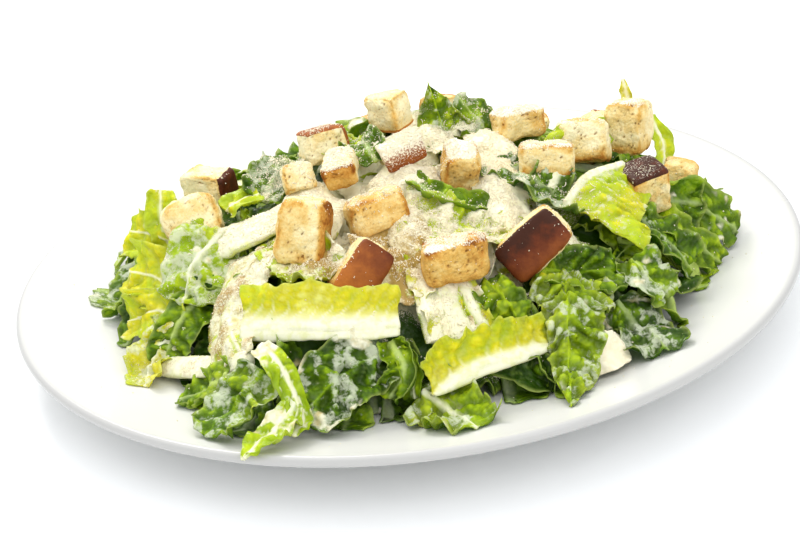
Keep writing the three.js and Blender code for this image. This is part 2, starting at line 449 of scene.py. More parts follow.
def breadFinish():
    finish = Finish("toasted bread")
    toast = finish.field("toast")
    crust = finish.field("crust")
    shade = finish.field("shade")
    pore = finish.field("pore")
    dust = finish.field("dust")
    fine = finish.noise(0.8, 3, 0.65)
    patch = finish.noise(3.5, 3)
    browning = toast + 0.5 * (patch - 0.5) + 0.5 * (fine - 0.5)
    crumbStops = [
        (0.0, rgb(251, 240, 196)),
        (0.28, rgb(243, 216, 148)),
        (0.55, rgb(224, 178, 92)),
        (0.8, rgb(194, 132, 52)),
        (1.0, rgb(140, 80, 22)),
    ]
    crumb = finish.ramp(browning, crumbStops)
    # painted shade: the pits of the crumb, pores and specks, are coloured dark brown
    poreShade = finish.step(pore + 0.5 * (fine - 0.5), 0.2, 1.0) * 0.75
    crumb = finish.mix(poreShade, crumb, croutonBread["poreShadeColour"])
    crustStops = [
        (0.0, rgb(236, 160, 62)),
        (0.3, rgb(188, 110, 42)),
        (0.6, rgb(136, 70, 26)),
        (0.85, rgb(98, 42, 14)),
        (1.0, rgb(62, 28, 12)),
    ]
    depth = shade + 0.4 * (patch - 0.5) + 0.15 * (fine - 0.5)
    skin = finish.ramp(depth, crustStops)
    bread = finish.mix(finish.step(crust + 0.3 * (fine - 0.5), 0.35, 0.65), crumb, skin)
    grains = finish.step(finish.noise(0.55, 2, 0.7) + dust, 0.85, 1.1)
    finish.set(Base_Color=finish.mix(grains, bread, croutonBread["cheeseColour"]))
    finish.set(Roughness=0.85 - 0.3 * crust, Specular_IOR_Level=0.22)
    rough = (finish.noise(0.5, 3, 0.65) + 0.9 * finish.cells(1.1)) * (1 - 0.8 * crust)
    finish.set(Normal=finish.bump(rough, 0.3))
    return finish.material


def blockGrid(count):
    # the surface of a cube from -1 to 1 as a grid of shared points
    step = np.arange(count + 1)
    a, b = np.meshgrid(step, step, indexing="ij")
    corners = []
    for axis in range(3):
        for end in (0, count):
            layers = [a, b]
            layers.insert(axis, np.full_like(a, end))
            corners.append(np.stack(layers, -1).reshape(-1, 3))
    shared, index = np.unique(np.vstack(corners), axis=0, return_inverse=True)
    index = index.reshape(6, count + 1, count + 1)
    faces = []
    for number in range(6):
        sheet = index[number]
        quad = np.stack([sheet[:-1, :-1], sheet[1:, :-1], sheet[1:, 1:], sheet[:-1, 1:]], -1)
        quad = quad.reshape(-1, 4)
        # sheets on axis 0 and 2 at the high end, and on axis 1 at the low end, already face out
        out = (number % 2 == 1) != (number // 2 == 1)
        faces.append(quad if out else quad[:, ::-1])
    return shared / count * 2 - 1, np.vstack(faces)


def turnOf(block):
    turn, lean, roll = (math.radians(angle) for angle in block["turns"])
    turned = Matrix.Rotation(turn, 3, "Z") @ Matrix.Rotation(-lean, 3, "X") @ Matrix.Rotation(roll, 3, "Y")
    return np.array(turned)


def faceShare(cube, names, low=0.72, high=0.9):
    share = np.zeros(len(cube))
    for name in names.split():
        axis, sign = sides[name]
        share = np.maximum(share, smooth(sign * cube[:, axis], low, high))
    return share


def makeCrouton(number, block, finish):
    look = croutonBread
    block = {**plainBlock, **block}
    name = "crouton_%02d" % number
    corners, _ = nodeShape(name)
    turn = turnOf(block)
    local = corners @ turn
    low, high = local.min(0), local.max(0)
    middle, half = (low + high) / 2, (high - low) / 2
    cube, faces = blockGrid(look["gridBack" if number >= look["firstHidden"] else "gridFront"])
    crust = faceShare(cube, block["crust"])
    power = block["corner"] or look["cornerCrust" if block["crust"] else "corner"]
    rounded = cube * (np.sum(np.abs(cube) ** power, axis=1, keepdims=True)) ** (-1 / power)
    outward = unit(np.sign(cube) * np.abs(rounded) ** (power - 1) / half)
    shape = rounded * half
    seed = shape + number * 37.7
    # no block is cut quite square
    taper = np.random.default_rng(number).uniform(-1, 0.2, 3) * look["taper"]
    shape = shape * (1 + taper * np.roll(cube, 1, axis=1))
    # the crumb is uneven and torn, the crust is smooth and a little sunk
    crumb = 1 - crust
    lump = look["lumps"] * (cloudAt(seed, 7.5) - 0.75) + 0.8 * (noiseAt(seed, 2.6) - 0.6)
    lump = lump + 0.3 * (noiseAt(seed, 1.1) - 0.5)
    near, _ = cellsAt(seed, look["poreWidth"], number)
    tiny, _ = cellsAt(seed, look["poreWidth"] * 0.45, number + 60)
    pore = (1 - smooth(near, 0.12, 0.34)) * smooth(cloudAt(seed + 50, 5), 0.35, 0.6)
    speck = (1 - smooth(tiny, 0.15, 0.36)) * 0.75
    depth = look["poreDepth"] * (pore + 0.35 * speck)
    edge = np.sort(np.abs(cube), axis=1)[:, 1]
    chipped = smooth(edge, 0.8, 1.0) * (noiseAt(seed, 1.7) - 0.55) * look["chips"]
    shift = (lump - depth + chipped) * (0.12 + 0.88 * crumb) - 0.15 * crust
    shape = shape + outward * np.minimum(shift, look["mostOutward"])[:, None]
    world = (shape + middle) @ turn.T
    # browning gathers at the edges and corners, and the block is browner towards its bottom
    pale = block["pale"]
    patchy = smooth(cloudAt(seed + 20, 6), 0.3, 0.7)
    toast = block["toast"] * 0.55 + 0.3 * smooth(edge, 0.6, 1.0) * (0.1 + 0.9 * patchy)
    toast = toast + 0.25 * (patchy - 0.4) * (1 - 0.6 * pale)
    toast = toast + block["low"] * 0.55 * smooth(-cube[:, 2], 0.1, 1.0)
    brownFace, brownShare = block["browned"]
    toast = toast - 0.2 * pale + brownShare * faceShare(cube, brownFace, 0.6, 0.98)
    acrossDrift, upDrift = block["drift"]
    shade = block["shade"] + acrossDrift * cube[:, 0] * 0.5 + upDrift * cube[:, 2] * 0.5
    # cheese lies on what faces up
    dust = smooth((outward @ turn.T)[:, 2], 0.25, 0.85) * block["cheese"] * 0.75
    dust = dust * (0.35 + 0.65 * cloudAt(world, 5)) + 0.1 * block["cheese"]
    dust = dust + block["strewn"] * (1 + 0.7 * cube[:, 2])
    # the pits go to the finish, which paints shade in them
    fields = {"toast": toast, "crust": crust, "shade": shade, "pore": (pore + speck) * crumb, "dust": dust}
    piece = makePiece("bread_%02d" % number, world, faces, [finish], fields)
    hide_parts(name)
    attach(piece, "root")
    return {
        "middle": middle @ turn.T,
        "half": half,
        "turn": turn,
        "points": world,
        "faces": faces,
        "takes": dust,
    }


bread = breadFinish()
croutons = [makeCrouton(i + 1, block, bread) for i, block in enumerate(blocks)]
print("croutons made:", len(croutons))


# the skin of the heap, read from the CAD solid; the seats that the croutons left are healed

heapCentre = (0.0, 4.0)
skinStep = 2.0
skinReach = 150.0
seatMargin = 1.6
heapPoints, heapFaces = nodeShape("lettuce_heap")
heapTree = BVHTree.FromPolygons([tuple(p) for p in heapPoints], heapFaces)


def aroundOf(height):
    # the mean of the four neighbours of each point of a grid
    beside = np.roll(height, 1, 0) + np.roll(height, -1, 0)
    return (beside + np.roll(height, 1, 1) + np.roll(height, -1, 1)) / 4


def readSkin():
    line = np.arange(-skinReach, skinReach + 1, skinStep)
    height = np.full((len(line), len(line)), np.nan)
    for i, x in enumerate(line):
        for j, y in enumerate(line):
            found = heapTree.ray_cast(Vector((x, y, 150)), Vector((0, 0, -1)))[0]
            if found is not None:
                height[i, j] = found.z
    gridX, gridY = np.meshgrid(line, line, indexing="ij")
    bare = np.isnan(height)
    height[bare] = plateTop(np.hypot(gridX, gridY))[bare]
    flat = np.stack([gridX, gridY, height], -1)
    seat = np.zeros(height.shape, bool)
    for crouton in croutons:
        local = (flat - crouton["middle"]) @ crouton["turn"]
        seat |= np.all(np.abs(local) < crouton["half"] + seatMargin, axis=-1)
    height[seat] = np.nan
    filled = np.where(seat, np.nanmean(height), height)
    for _ in range(160):
        filled = np.where(seat, aroundOf(filled), filled)
    for _ in range(2):
        filled = 0.5 * filled + 0.5 * aroundOf(filled)
    return filled, ~bare


skin, insideHeap = readSkin()


def gridAt(table, x, y):
    i = np.clip((np.asarray(x, float) + skinReach) / skinStep, 0, table.shape[0] - 1.001)
    j = np.clip((np.asarray(y, float) + skinReach) / skinStep, 0, table.shape[1] - 1.001)
    i0, j0 = i.astype(int), j.astype(int)
    a, b = i - i0, j - j0
    near = table[i0, j0] * (1 - a) * (1 - b) + table[i0 + 1, j0] * a * (1 - b)
    return near + table[i0, j0 + 1] * (1 - a) * b + table[i0 + 1, j0 + 1] * a * b


def skinAt(x, y):
    return np.maximum(gridAt(skin, x, y), plateTop(np.hypot(x, y)))


def skinNormal(x, y, reach=5.0):
    x, y = np.asarray(x, float), np.asarray(y, float)
    slopeX = (skinAt(x + reach, y) - skinAt(x - reach, y)) / (2 * reach)
    slopeY = (skinAt(x, y + reach) - skinAt(x, y - reach)) / (2 * reach)
    return unit(np.stack([-slopeX, -slopeY, np.ones_like(slopeX)], -1))


print("heap skin read")


# romaine

romaine = {
    "gridFront": 0.7,
    "gridFill": 1.15,
    "gridBehind": 1.45,
    "mostTriangles": 190000,
    "blade": 0.4,
    "pucker": 1.5,
    "lobeRise": 1.4,
    "pillowRise": 0.6,
    "puckerRise": 0.25,
    "wrinkleRise": 0.4,
    "gapAbovePlate": 0.8,
    "gapUnder": 0.35,
    "deep": rgb(44, 74, 6),
    "dark": rgb(124, 164, 12),
    "green": rgb(182, 214, 16),
    "lime": rgb(214, 234, 44),
    "yellow": rgb(246, 236, 34),
    "cream": rgb(249, 250, 140),
    "darkVein": rgb(160, 188, 84),
    "paleVein": rgb(250, 248, 206),
    "paleEdgeAndHighlightColour": rgb(206, 220, 110),
    "creaseShadeColour": rgb(40, 66, 6),
    "ribColour": rgb(246, 244, 216),
    "ribShade": rgb(228, 230, 160),
    "filmAndSheenColour": rgb(238, 243, 214),
    "dressingColour": rgb(250, 246, 222),
    "dressingShade": rgb(216, 198, 140),
    "dustColour": rgb(255, 249, 218),
    "dustShade": rgb(178, 144, 80),
}


def leafFinish(name, glow, share, veinShare, creaseShadeShare):
    look = romaine
    finish = Finish(name)
    tone, rib, vein = finish.field("tone"), finish.field("rib"), finish.field("vein")
    film, sauce, dust = finish.field("film"), finish.field("sauce"), finish.field("dust")
    patch = finish.noise(5, 3)
    fine = finish.noise(0.8, 3, 0.65)
    stops = [
        (0.0, look["deep"]),
        (0.2, look["dark"]),
        (0.45, look["green"]),
        (0.65, look["lime"]),
        (0.85, look["yellow"]),
        (1.0, look["cream"]),
    ]
    hue = tone + 0.24 * (patch - 0.5) + 0.16 * (fine - 0.5)
    colour = finish.ramp(hue, stops)
    # painted shade: the creases between the pillows are coloured darker
    colour = finish.mix(finish.field("crease") * creaseShadeShare, colour, look["creaseShadeColour"])
    # the margins are paler: partly their own colour, partly a painted highlight where the frilly edges catch
    # the light
    colour = finish.mix(finish.field("edge") * 0.5, colour, look["paleEdgeAndHighlightColour"])
    veinTint = finish.mix(finish.step(tone, 0.3, 0.8), look["darkVein"], look["paleVein"])
    colour = finish.mix(vein * veinShare, colour, veinTint)
    streak = finish.step(finish.noise(2.2, 3), 0.4, 0.75) * 0.7
    colour = finish.mix(rib, colour, finish.mix(streak, look["ribColour"], look["ribShade"]))
    spots = finish.noise(2.2, 3, 0.6)
    # whitish patches on the crests: partly dressing, partly a painted sheen
    thinFilmAndSheen = finish.step(film + 0.5 * (fine - 0.5) + 1.4 * (spots - 0.5), 0.42, 0.8)
    colour = finish.mix(thinFilmAndSheen * 0.78, colour, look["filmAndSheenColour"])
    clotted = finish.step(finish.noise(3, 2), 0.35, 0.75)
    dressing = finish.mix(clotted, look["dressingColour"], look["dressingShade"])
    wet = finish.step(sauce + 0.3 * (fine - 0.5), 0.1, 0.95)
    colour = finish.mix(wet * 0.88, colour, dressing)
    powder = finish.noise(0.5, 2, 0.75)
    grains = finish.step(powder + 0.7 * dust, 0.8, 1.02)
    # the cheese is tan in patches: partly browned crumbs, partly painted warm shade
    browned = finish.noise(1.2, 3, 0.7) + 0.5 * (finish.noise(10, 2) - 0.5) + finish.field("tan")
    cheese = finish.mix(finish.step(browned, 0.7, 1.25), look["dustColour"], look["dustShade"])
    colour = finish.mix(grains * 0.95, colour, cheese)
    finish.set(Base_Color=colour, Specular_IOR_Level=0.22, Coat_Roughness=0.18)
    finish.set(Roughness=0.34 + 0.3 * grains + 0.14 * fine)
    finish.set(Coat_Weight=finish.step(finish.noise(1.6, 2), 0.5, 0.7) * (1 - grains) * 0.4)
    pucker = 0.5 * finish.noise(1.2, 2) - 0.7 * finish.cells(1.5)
    height = powder * (0.2 + 0.3 * grains) + pucker * (1 - grains) * (1 - 0.9 * rib)
    finish.set(Normal=finish.bump(height, 0.5))
    # light shines through the blade where it is thin and bare
    thin = (1 - rib * 0.75) * (1 - wet * 0.8) * (1 - grains * 0.8) * share
    surface = Value(finish.tree, finish.shader.outputs[0])
    through = finish.node("ShaderNodeBsdfTranslucent", None, {"Color": glow})
    blend = finish.node("ShaderNodeMixShader", None, {0: thin, 1: surface, 2: through})
    feed(finish.tree, finish.tree.nodes["Material Output"].inputs["Surface"], blend)
    return finish.material


def curveThrough(points, share):
    # a smooth curve through a few points, at shares of its length from 0 to 1
    points = np.asarray(points, float)
    chord = np.linalg.norm(np.diff(points, axis=0), axis=1)
    knots = np.concatenate([[0], np.cumsum(chord)]) / np.sum(chord)
    padded = np.vstack([2 * points[0] - points[1], points, 2 * points[-1] - points[-2]])
    index = np.clip(np.searchsorted(knots, share, side="right") - 1, 0, len(points) - 2)
    t = ((share - knots[index]) / (knots[index + 1] - knots[index]))[:, None]
    a, b, c, d = (padded[index + k] for k in range(4))
    square = (2 * a - 5 * b + 4 * c - d) * t**2
    cube = (3 * b - a - 3 * c + d) * t**3
    return 0.5 * (2 * b + (c - a) * t + square + cube)


def outlineOf(shape, t):
    # half width of a torn piece along its length, as a share
    if shape == "strip":
        return np.minimum(1.0, 0.8 + np.minimum(t, 1 - t) / 0.08)
    if shape == "tip":
        body = 0.5 + 0.5 * smooth(t, 0.0, 0.38)
        return body * np.sqrt(np.clip(1 - np.clip((t - 0.35) / 0.65, 0, 1) ** 2.1, 0, 1))
    if shape == "spear":
        return np.interp(t, (0, 0.12, 0.24, 0.36, 0.55, 0.78, 1), (0.86, 1, 0.92, 0.64, 0.62, 0.44, 0.04))
    if shape == "point":
        body = 0.75 + 0.25 * smooth(t, 0.0, 0.15)
        return body * np.clip(1 - np.clip((t - 0.12) / 0.88, 0, 1) ** 1.25, 0.03, 1)
    if shape == "boat":
        return np.clip(1 - np.abs(2 * t - 1) ** 2.4, 0.02, 1) ** 0.6
    if shape == "fan":
        return (0.3 + 0.7 * t**0.8) * np.sqrt(np.clip(1 - t**8, 0, 1))
    return 0.72 + 0.28 * np.sqrt(np.clip(1 - np.abs(2 * t - 1) ** 3.4, 0, 1))


# One torn piece of leaf. Left and right are the half widths on each side of the rib, seen from the
# face with the end of the spine up; a pair gives them at the base and at the end. The spine is
# (x, y, lift above the heap), or the place itself where fixed is true.

plainLeaf = {
    "fixed": False,
    "face": None,  # the side that shows; without it the piece follows the heap and its lean
    "lean": (0, 0, 0),
    "twist": 0,  # degrees from the base to the end
    "shape": "chunk",
    "jag": 1.0,  # how ragged the long edges are
    "tear": 2.2,  # how ragged the ends are
    "curl": 0.5,  # bend across the rib in radians, towards the face or, below 0, away
    "swell": 1.6,
    "crumple": 3.2,
    "ruffle": 1.5,  # height of the waves along the edge
    "wave": 8.0,  # and their length
    "rib": (0.9, 0.4),  # half width at the base and at the end
    "ribHeight": 0.9,
    "ribSpread": 0.3,  # how far it runs out into the side veins
    "ribSoft": 0.6,
    "ribPale": None,  # without it a green piece has a green rib and a yellow one a white rib
    "spacing": 8.0,  # between side veins
    "slant": 0.75,
    "pillow": 2.7,  # width of the pillows between them
    "stretch": (1.0, 0.8),
    "blister": 1.0,  # height of the whole relief
    "lobes": 1.0,  # how much of it follows the side veins
    "tone": 0.4,  # 0 deep green, 0.65 lime, 1 cream
    "edgeTone": -0.1,
    "film": 0.2,  # thin dressing on the crests, and a painted sheen where they face up
    "sauce": 0.1,  # thick dressing in the valleys
    "dust": 0.2,  # cheese from the shower
    "strewn": 0.0,  # cheese whatever the place
    "tan": 0.1,  # browned crumbs in it, and painted warm shade
}


# widths of the noise behind each feature of a leaf, in millimetres

grainOf = {
    "tears": (8.0, 3.2, 1.5),
    "ends": (6.0, 2.0),
    "curl": 14.0,
    "swell": (12.0, 6.0),
    "fold": (10.0, 5.0),
    "frill": 2.3,
    "veins": (6.0, 2.8),
    "wrinkle": 3.4,
    "blister": 7.0,
    "fibre": 0.9,
    "pool": 6.0,
    "streak": 2.4,
    "drops": 2.2,
    "cheese": 5.0,
    "crumbs": 0.9,
    "tone": 11.0,
    "film": (4.5, 2.6),
    "tan": 9.0,
}


def pair(value):
    return value if isinstance(value, tuple) else (value, value)


def placeAt(x, y, z):
    return np.stack(np.broadcast_arrays(x, y, z), -1)


def waveAt(points, width, shift=0.0):
    # noise from -1 to 1
    return 2 * noiseAt(points, width, shift) - 1


def lineNoise(run, width, shift):
    return waveAt(placeAt(run, shift, 4.4), width, shift % 7)


class Leaf:
    # a closed shell on a grid: t runs along the spine, s across it in millimetres from the rib

    def __init__(self, look, seed, step):
        self.look = {**plainLeaf, **look}
        self.seed = seed
        self.detail = min(1.0, 0.8 / step)  # a coarse grid carries less of the finest folds
        self.layOut(step)
        self.tearEdges()
        self.bend()
        self.raiseVeins()
        self.dress()

    def layOut(self, step):
        look = self.look
        spine = np.array(look["spine"], float)
        if not look["fixed"]:
            spine[:, 2] += skinAt(spine[:, 0], spine[:, 1])
        length = float(np.sum(np.linalg.norm(np.diff(spine, axis=0), axis=1)))
        self.t = np.linspace(0, 1, max(8, round(length / step)) + 1)
        self.run = self.t * length
        left, right = (max(3, round(max(pair(look[name])) / step)) for name in ("left", "right"))
        columns = np.concatenate([np.linspace(-1, 0, left + 1)[:-1], np.linspace(0, 1, right + 1)])
        self.v = columns[None]
        self.side = np.sign(self.v)
        self.size = np.abs(self.v)
        faces = look["face"]
        if faces is None:
            faces = skinNormal(spine[:, 0], spine[:, 1], 9.0) + np.array(look["lean"])
        faces = np.broadcast_to(np.asarray(faces, float), (len(spine), 3))
        face = unit(curveThrough(np.hstack([spine, faces]), self.t)[:, 3:])
        self.centre = curveThrough(spine, self.t)
        self.along = unit(np.gradient(self.centre, axis=0))
        sideways = unit(np.cross(self.along, face))
        front = unit(np.cross(sideways, self.along))
        twist = math.radians(look["twist"]) * (self.t - 0.5)[:, None]
        self.sideways = sideways * np.cos(twist) + front * np.sin(twist)
        self.front = front * np.cos(twist) - sideways * np.sin(twist)

    def tearEdges(self):
        # ragged half widths, each size of tear with its depth and its own stretch of the noise
        depths = (1.6, 0.5, 0.3 * self.detail)
        tears = list(zip(depths, grainOf["tears"], (0, 3, 5)))
        halves = []
        for number, name in enumerate(("left", "right")):
            base, end = pair(self.look[name])
            outline = outlineOf(pair(self.look["shape"])[number], self.t)
            plain = (base + (end - base) * self.t) * outline
            shift = self.seed * 3.1 + number * 9.7
            torn = sum(depth * lineNoise(self.run, width, shift + more) for depth, width, more in tears)
            halves.append(np.maximum(plain + self.look["jag"] * torn * smooth(plain, 1.0, 6.0), 0.3))
        self.half = np.where(self.side < 0, halves[0][:, None], halves[1][:, None])
        self.s = self.v * self.half
        self.inward = self.half * (1 - self.size)
        self.flat = placeAt(self.run[:, None], self.s, self.seed * 2.9)

    def bend(self):
        look, side, size, half, flat = self.look, self.side, self.size, self.half, self.flat
        # across the rib
        curlLeft, curlRight = pair(look["curl"])
        drift = lineNoise(self.run, grainOf["curl"], self.seed)
        curl = np.where(side < 0, curlLeft, curlRight) + 0.2 * drift[:, None]
        curl = np.where(np.abs(curl) < 0.02, 0.02, curl)
        across = side * np.sin(curl * size) / curl * half
        rise = (1 - np.cos(curl * size)) / curl * half
        # swollen and folded at random, less where the piece is narrow
        broad = smooth(half, 3.0, 9.0)
        swell = look["swell"] * smooth(half, 2.0, 8.0)
        broadSwell, fineSwell = grainOf["swell"]
        rise = rise + swell * (waveAt(flat, broadSwell, 3.7) + 0.8 * noiseAt(flat, fineSwell, 8.7))
        broadFold, fineFold = grainOf["fold"]
        fold = np.abs(waveAt(flat, broadFold, 6.1)) + 0.5 * np.abs(waveAt(flat, fineFold, 1.1))
        rise = rise + look["crumple"] * broad * (fold - 0.5)
        # the outer edge is longer than the middle, so it ruffles
        wave, amount = look["wave"], look["ruffle"] * broad
        hem = np.exp(-(self.inward / (0.45 * wave)) ** 1.5)
        hemLine = placeAt(self.run[:, None], 9.0 * side + 0.35 * self.s, self.seed * 1.9)
        phase = 2 * np.pi * self.run[:, None] / wave + 6 * noiseAt(hemLine, wave * 1.6, 2.2) + side * 1.1
        rise = rise + amount * hem * (0.5 * np.sin(phase) + 1.5 * waveAt(hemLine, wave * 0.5))
        frill = np.exp(-(self.inward / 2.4) ** 1.5)
        rise = rise + 0.7 * amount * self.detail * frill * waveAt(hemLine, grainOf["frill"], 5.5)
        across = across + 0.5 * amount * hem * waveAt(hemLine, wave * 0.45, 9.1) * side
        # the ends of a torn piece are ragged too
        cross = placeAt(self.s, self.seed, 2.0)
        broadTear, fineTear = grainOf["ends"]
        slide = 1.6 * noiseAt(cross, broadTear) + 0.4 * self.detail * noiseAt(cross, fineTear) - 1.0
        slide = look["tear"] * slide * (smooth(self.t, 0.75, 1.0) - smooth(1 - self.t, 0.75, 1.0))[:, None]
        points = self.centre[:, None] + self.sideways[:, None] * across[..., None]
        points = points + self.front[:, None] * rise[..., None]
        self.points = points + self.along[:, None] * slide[..., None]
        self.normal = unit(np.cross(np.gradient(self.points, axis=1), np.gradient(self.points, axis=0)))

    def raiseVeins(self):
        # relief: the rib, the side veins, and the pillows between them
        look, flat = self.look, self.flat
        ribBase, ribEnd = look["rib"]
        ribHalf = (ribBase + (ribEnd - ribBase) * self.t)[:, None]
        if "boat" in pair(look["shape"]):
            ribHalf = ribHalf * outlineOf("boat", self.t)[:, None]
        off = np.abs(self.s)
        spacing = look["spacing"] * np.random.default_rng(self.seed).uniform(0.85, 1.15)
        broadBend, fineBend = grainOf["veins"]
        wobble = noiseAt(flat, broadBend) - 0.5 + 0.7 * (noiseAt(flat, fineBend, 4.1) - 0.5)
        veinPlace = (self.run[:, None] - look["slant"] * off) / spacing + 0.25 * (self.v > 0) + 0.8 * wobble
        toVein = np.abs(veinPlace - np.round(veinPlace)) * spacing
        vein = np.exp(-(toVein / (0.25 + 0.6 * ribBase / 3 * np.exp(-off / 4.0))) ** 2)
        reach = ribHalf * (1 + look["ribSpread"] * vein)
        rib = 1 - smooth(off, 0.65 * reach, (0.6 + look["ribSoft"]) * reach + 0.15)
        sheet = flat[..., :2]
        stretched = sheet * np.array(look["stretch"]) + self.seed * 13.7
        near, second = cellsAt(stretched, look["pillow"], self.seed % 97)
        small, smallNext = cellsAt(sheet + self.seed * 5.1, romaine["pucker"], self.seed % 89)
        lobe = 1 - np.exp(-(toVein / (0.25 * spacing)) ** 2)
        dome = np.sqrt(smooth(second - near, 0.0, 0.75))
        tiny = np.sqrt(smooth(smallNext - small, 0.0, 0.8))
        squeezed = flat * np.array([0.75, 1.15, 1])
        wrinkle = np.minimum(1, 2.6 * np.abs(waveAt(squeezed, grainOf["wrinkle"], 5.3)))
        pillows = romaine["lobeRise"] * look["lobes"] * (lobe - 0.6)
        pillows = pillows + romaine["pillowRise"] * dome * (0.35 + 0.65 * lobe)
        pillows = pillows + romaine["puckerRise"] * tiny - 0.7 + romaine["wrinkleRise"] * wrinkle
        blister = look["blister"] * (0.35 + 1.3 * cloudAt(flat, grainOf["blister"], 4.9))
        relief = blister * pillows * (1 - 0.4 * self.size**4) * (1 - rib)
        arch = np.sqrt(np.clip(1 - (self.s / (ribHalf * 1.15)) ** 2, 0, 1))
        fibre = 0.1 * (noiseAt(flat * np.array([0.2, 1, 1]), grainOf["fibre"]) - 0.5) * rib
        self.relief = relief + 0.35 * look["ribHeight"] * arch + fibre
        self.thick = romaine["blade"] * (0.55 + 0.45 * (1 - self.size**4)) + 0.75 * look["ribHeight"] * arch
        self.rib = rib
        self.ribHalf = ribHalf
        self.off = off
        self.lobe = lobe
        self.dome = dome
        net = (1 - smooth(second - near, 0.03, 0.16)) * 0.2
        self.vein = np.maximum(vein * (0.4 + 0.6 * np.exp(-off / 6.0)), net) * (1 - rib)
        # painted shade: the valleys between the pillows are marked to be coloured darker
        crease = np.clip(1 - lobe * (0.35 + 0.65 * dome) * (0.5 + 0.5 * wrinkle), 0, 1)
        self.crease = crease * (1 - rib) * np.minimum(1.0, blister)

    def dress(self):
        # dressing lies in the valleys and in drops, cheese on what faces up
        look, points = self.look, self.points
        sauce = look["sauce"]
        valley = (1 - self.lobe * self.dome) * (1 - self.rib)
        streak = noiseAt(self.flat * np.array([0.4, 1.0, 1.0]), grainOf["streak"])
        pool = 0.62 * cloudAt(points, grainOf["pool"], 3.3) + 0.26 * streak + 0.16 * valley
        self.wet = smooth(pool, 0.86 - 0.75 * sauce, 1.0 - 0.62 * sauce) * min(1.0, sauce * 5)
        drops = 0.45 * self.wet * (0.5 + noiseAt(points, grainOf["drops"]))
        dusted = look["dust"] * dustingAt(points) * smooth(self.normal[..., 2], 0.0, 0.7) + look["strewn"]
        self.dusted = dusted * (0.3 + cloudAt(points, grainOf["cheese"], 5.1))
        crumbs = 0.5 * np.clip(self.dusted, 0, 1) * (noiseAt(points, grainOf["crumbs"], 7.7) - 0.4)
        self.relief = self.relief * (1 - 0.6 * self.wet) + drops + crumbs

    def fields(self):
        # what the finish reads at each point of one sheet
        look, points, blade = self.look, self.points, 1 - self.rib
        raised = self.lobe * self.dome
        # the film and its painted sheen gather on crests that face up
        crest = (0.3 + 0.7 * raised) * (0.4 + 0.6 * smooth(self.normal[..., 2], -0.2, 0.7))
        broadFilmAndSheen, fineFilmAndSheen = grainOf["film"]
        film = look["film"] * (0.15 + 2.2 * smooth(cloudAt(points, broadFilmAndSheen, 1.9), 0.25, 0.75) * crest)
        tone = look["tone"] + 0.24 * (cloudAt(self.flat, grainOf["tone"], 2.7) - 0.5)
        tone = tone + look["edgeTone"] * self.size**1.5
        # painted light and shade: the crests are coloured lighter and the valleys darker
        tone = tone + (0.32 if look["tone"] < 0.5 else 0.14) * (raised - 0.5) * blade
        tone = tone + 0.12 * blade * np.exp(-self.off / 3.0) * smooth(self.ribHalf, 0.4, 1.0)
        ribPale = look["ribPale"]
        if ribPale is None:
            ribPale = 0.3 if look["tone"] < 0.5 else 1.0
        return {
            "tone": tone,
            "rib": self.rib * ribPale,
            "vein": self.vein,
            "crease": self.crease,
            "film": np.minimum(film, 0.45 + 0.45 * cloudAt(points, fineFilmAndSheen, 7.9)),
            "sauce": self.wet,
            "dust": self.dusted,
            "tan": look["tan"] * cloudAt(points, grainOf["tan"], 2.1) * 1.6,
            # the margins, which the finish paints paler: their own colour and a painted highlight
            "edge": np.exp(-(self.inward / 0.7) ** 2) * smooth(self.half, 3.0, 7.0) * blade,
        }

    def shell(self):
        frontSheet = self.points + self.normal * self.relief[..., None]
        backSheet = self.points + self.normal * (self.relief * (1 - self.rib) - self.thick)[..., None]
        gaps = (romaine["gapAbovePlate"], romaine["gapUnder"])
        for sheet, gap in zip((frontSheet, backSheet), gaps):  # nothing dips into the plate
            floor = plateTop(np.hypot(sheet[..., 0], sheet[..., 1])) + gap
            sheet[..., 2] = np.maximum(sheet[..., 2], floor)
        count = self.s.size
        index = np.arange(count).reshape(self.s.shape)
        quads = np.stack([index[:-1, :-1], index[:-1, 1:], index[1:, 1:], index[1:, :-1]], -1).reshape(-1, 4)
        border = np.concatenate([index[0, :], index[1:, -1], index[-1, -2::-1], index[-2:0:-1, 0]])
        after = np.roll(border, -1)
        rim = np.stack([border, border + count, after + count, after], -1)
        under = {"film": 0.6, "sauce": 0.3, "dust": 0.0}  # shares of each on the back
        fields = {
            key: np.concatenate([values.ravel(), values.ravel() * under.get(key, 1.0)])
            for key, values in self.fields().items()
        }
        return {
            "points": np.vstack([frontSheet.reshape(-1, 3), backSheet.reshape(-1, 3)]),
            "faces": np.vstack([quads, quads[:, ::-1] + count, rim]),
            "fields": fields,
            "pale": self.look["tone"] > 0.5,
        }


# where the grated cheese fell thickest: 1 in the middle of the shower, little outside it

shower = {"middle": (8.0, -32.0), "reach": (46.0, 52.0), "outside": 0.1}


def dustingAt(points):
    points = np.asarray(points, float)
    away = (points[..., :2] - shower["middle"]) / shower["reach"]
    return shower["outside"] + (1 - shower["outside"]) * np.exp(-np.sum(away**2, axis=-1) ** 1.5)


# the pieces of leaf that lie on top at the front, and what some of them share

heart = dict(film=0.0, swell=0.8, ribSpread=0.5)  # pale strips with the bare rib below the blade
ribless = dict(rib=(0.3, 0.2), ribPale=0.0, ribHeight=0.2)  # torn from the blade alone
lime = dict(tone=0.86, ruffle=2.8, wave=7, rib=(0.6, 0.3))  # bright pieces at the left
bareRib = dict(  # lengths of rib
    shape="strip", rib=(3.0, 2.8), ribHeight=1.8, curl=-0.5, ruffle=0.4, swell=0.8, jag=0.9, sauce=0.35,
    dust=2.0)
mound = dict(  # smooth, under thick cheese
    tone=0.75, film=0.0, sauce=0.6, crumple=0.5, curl=-0.8, ruffle=0.4, jag=0.8, blister=0.5, swell=2.0)

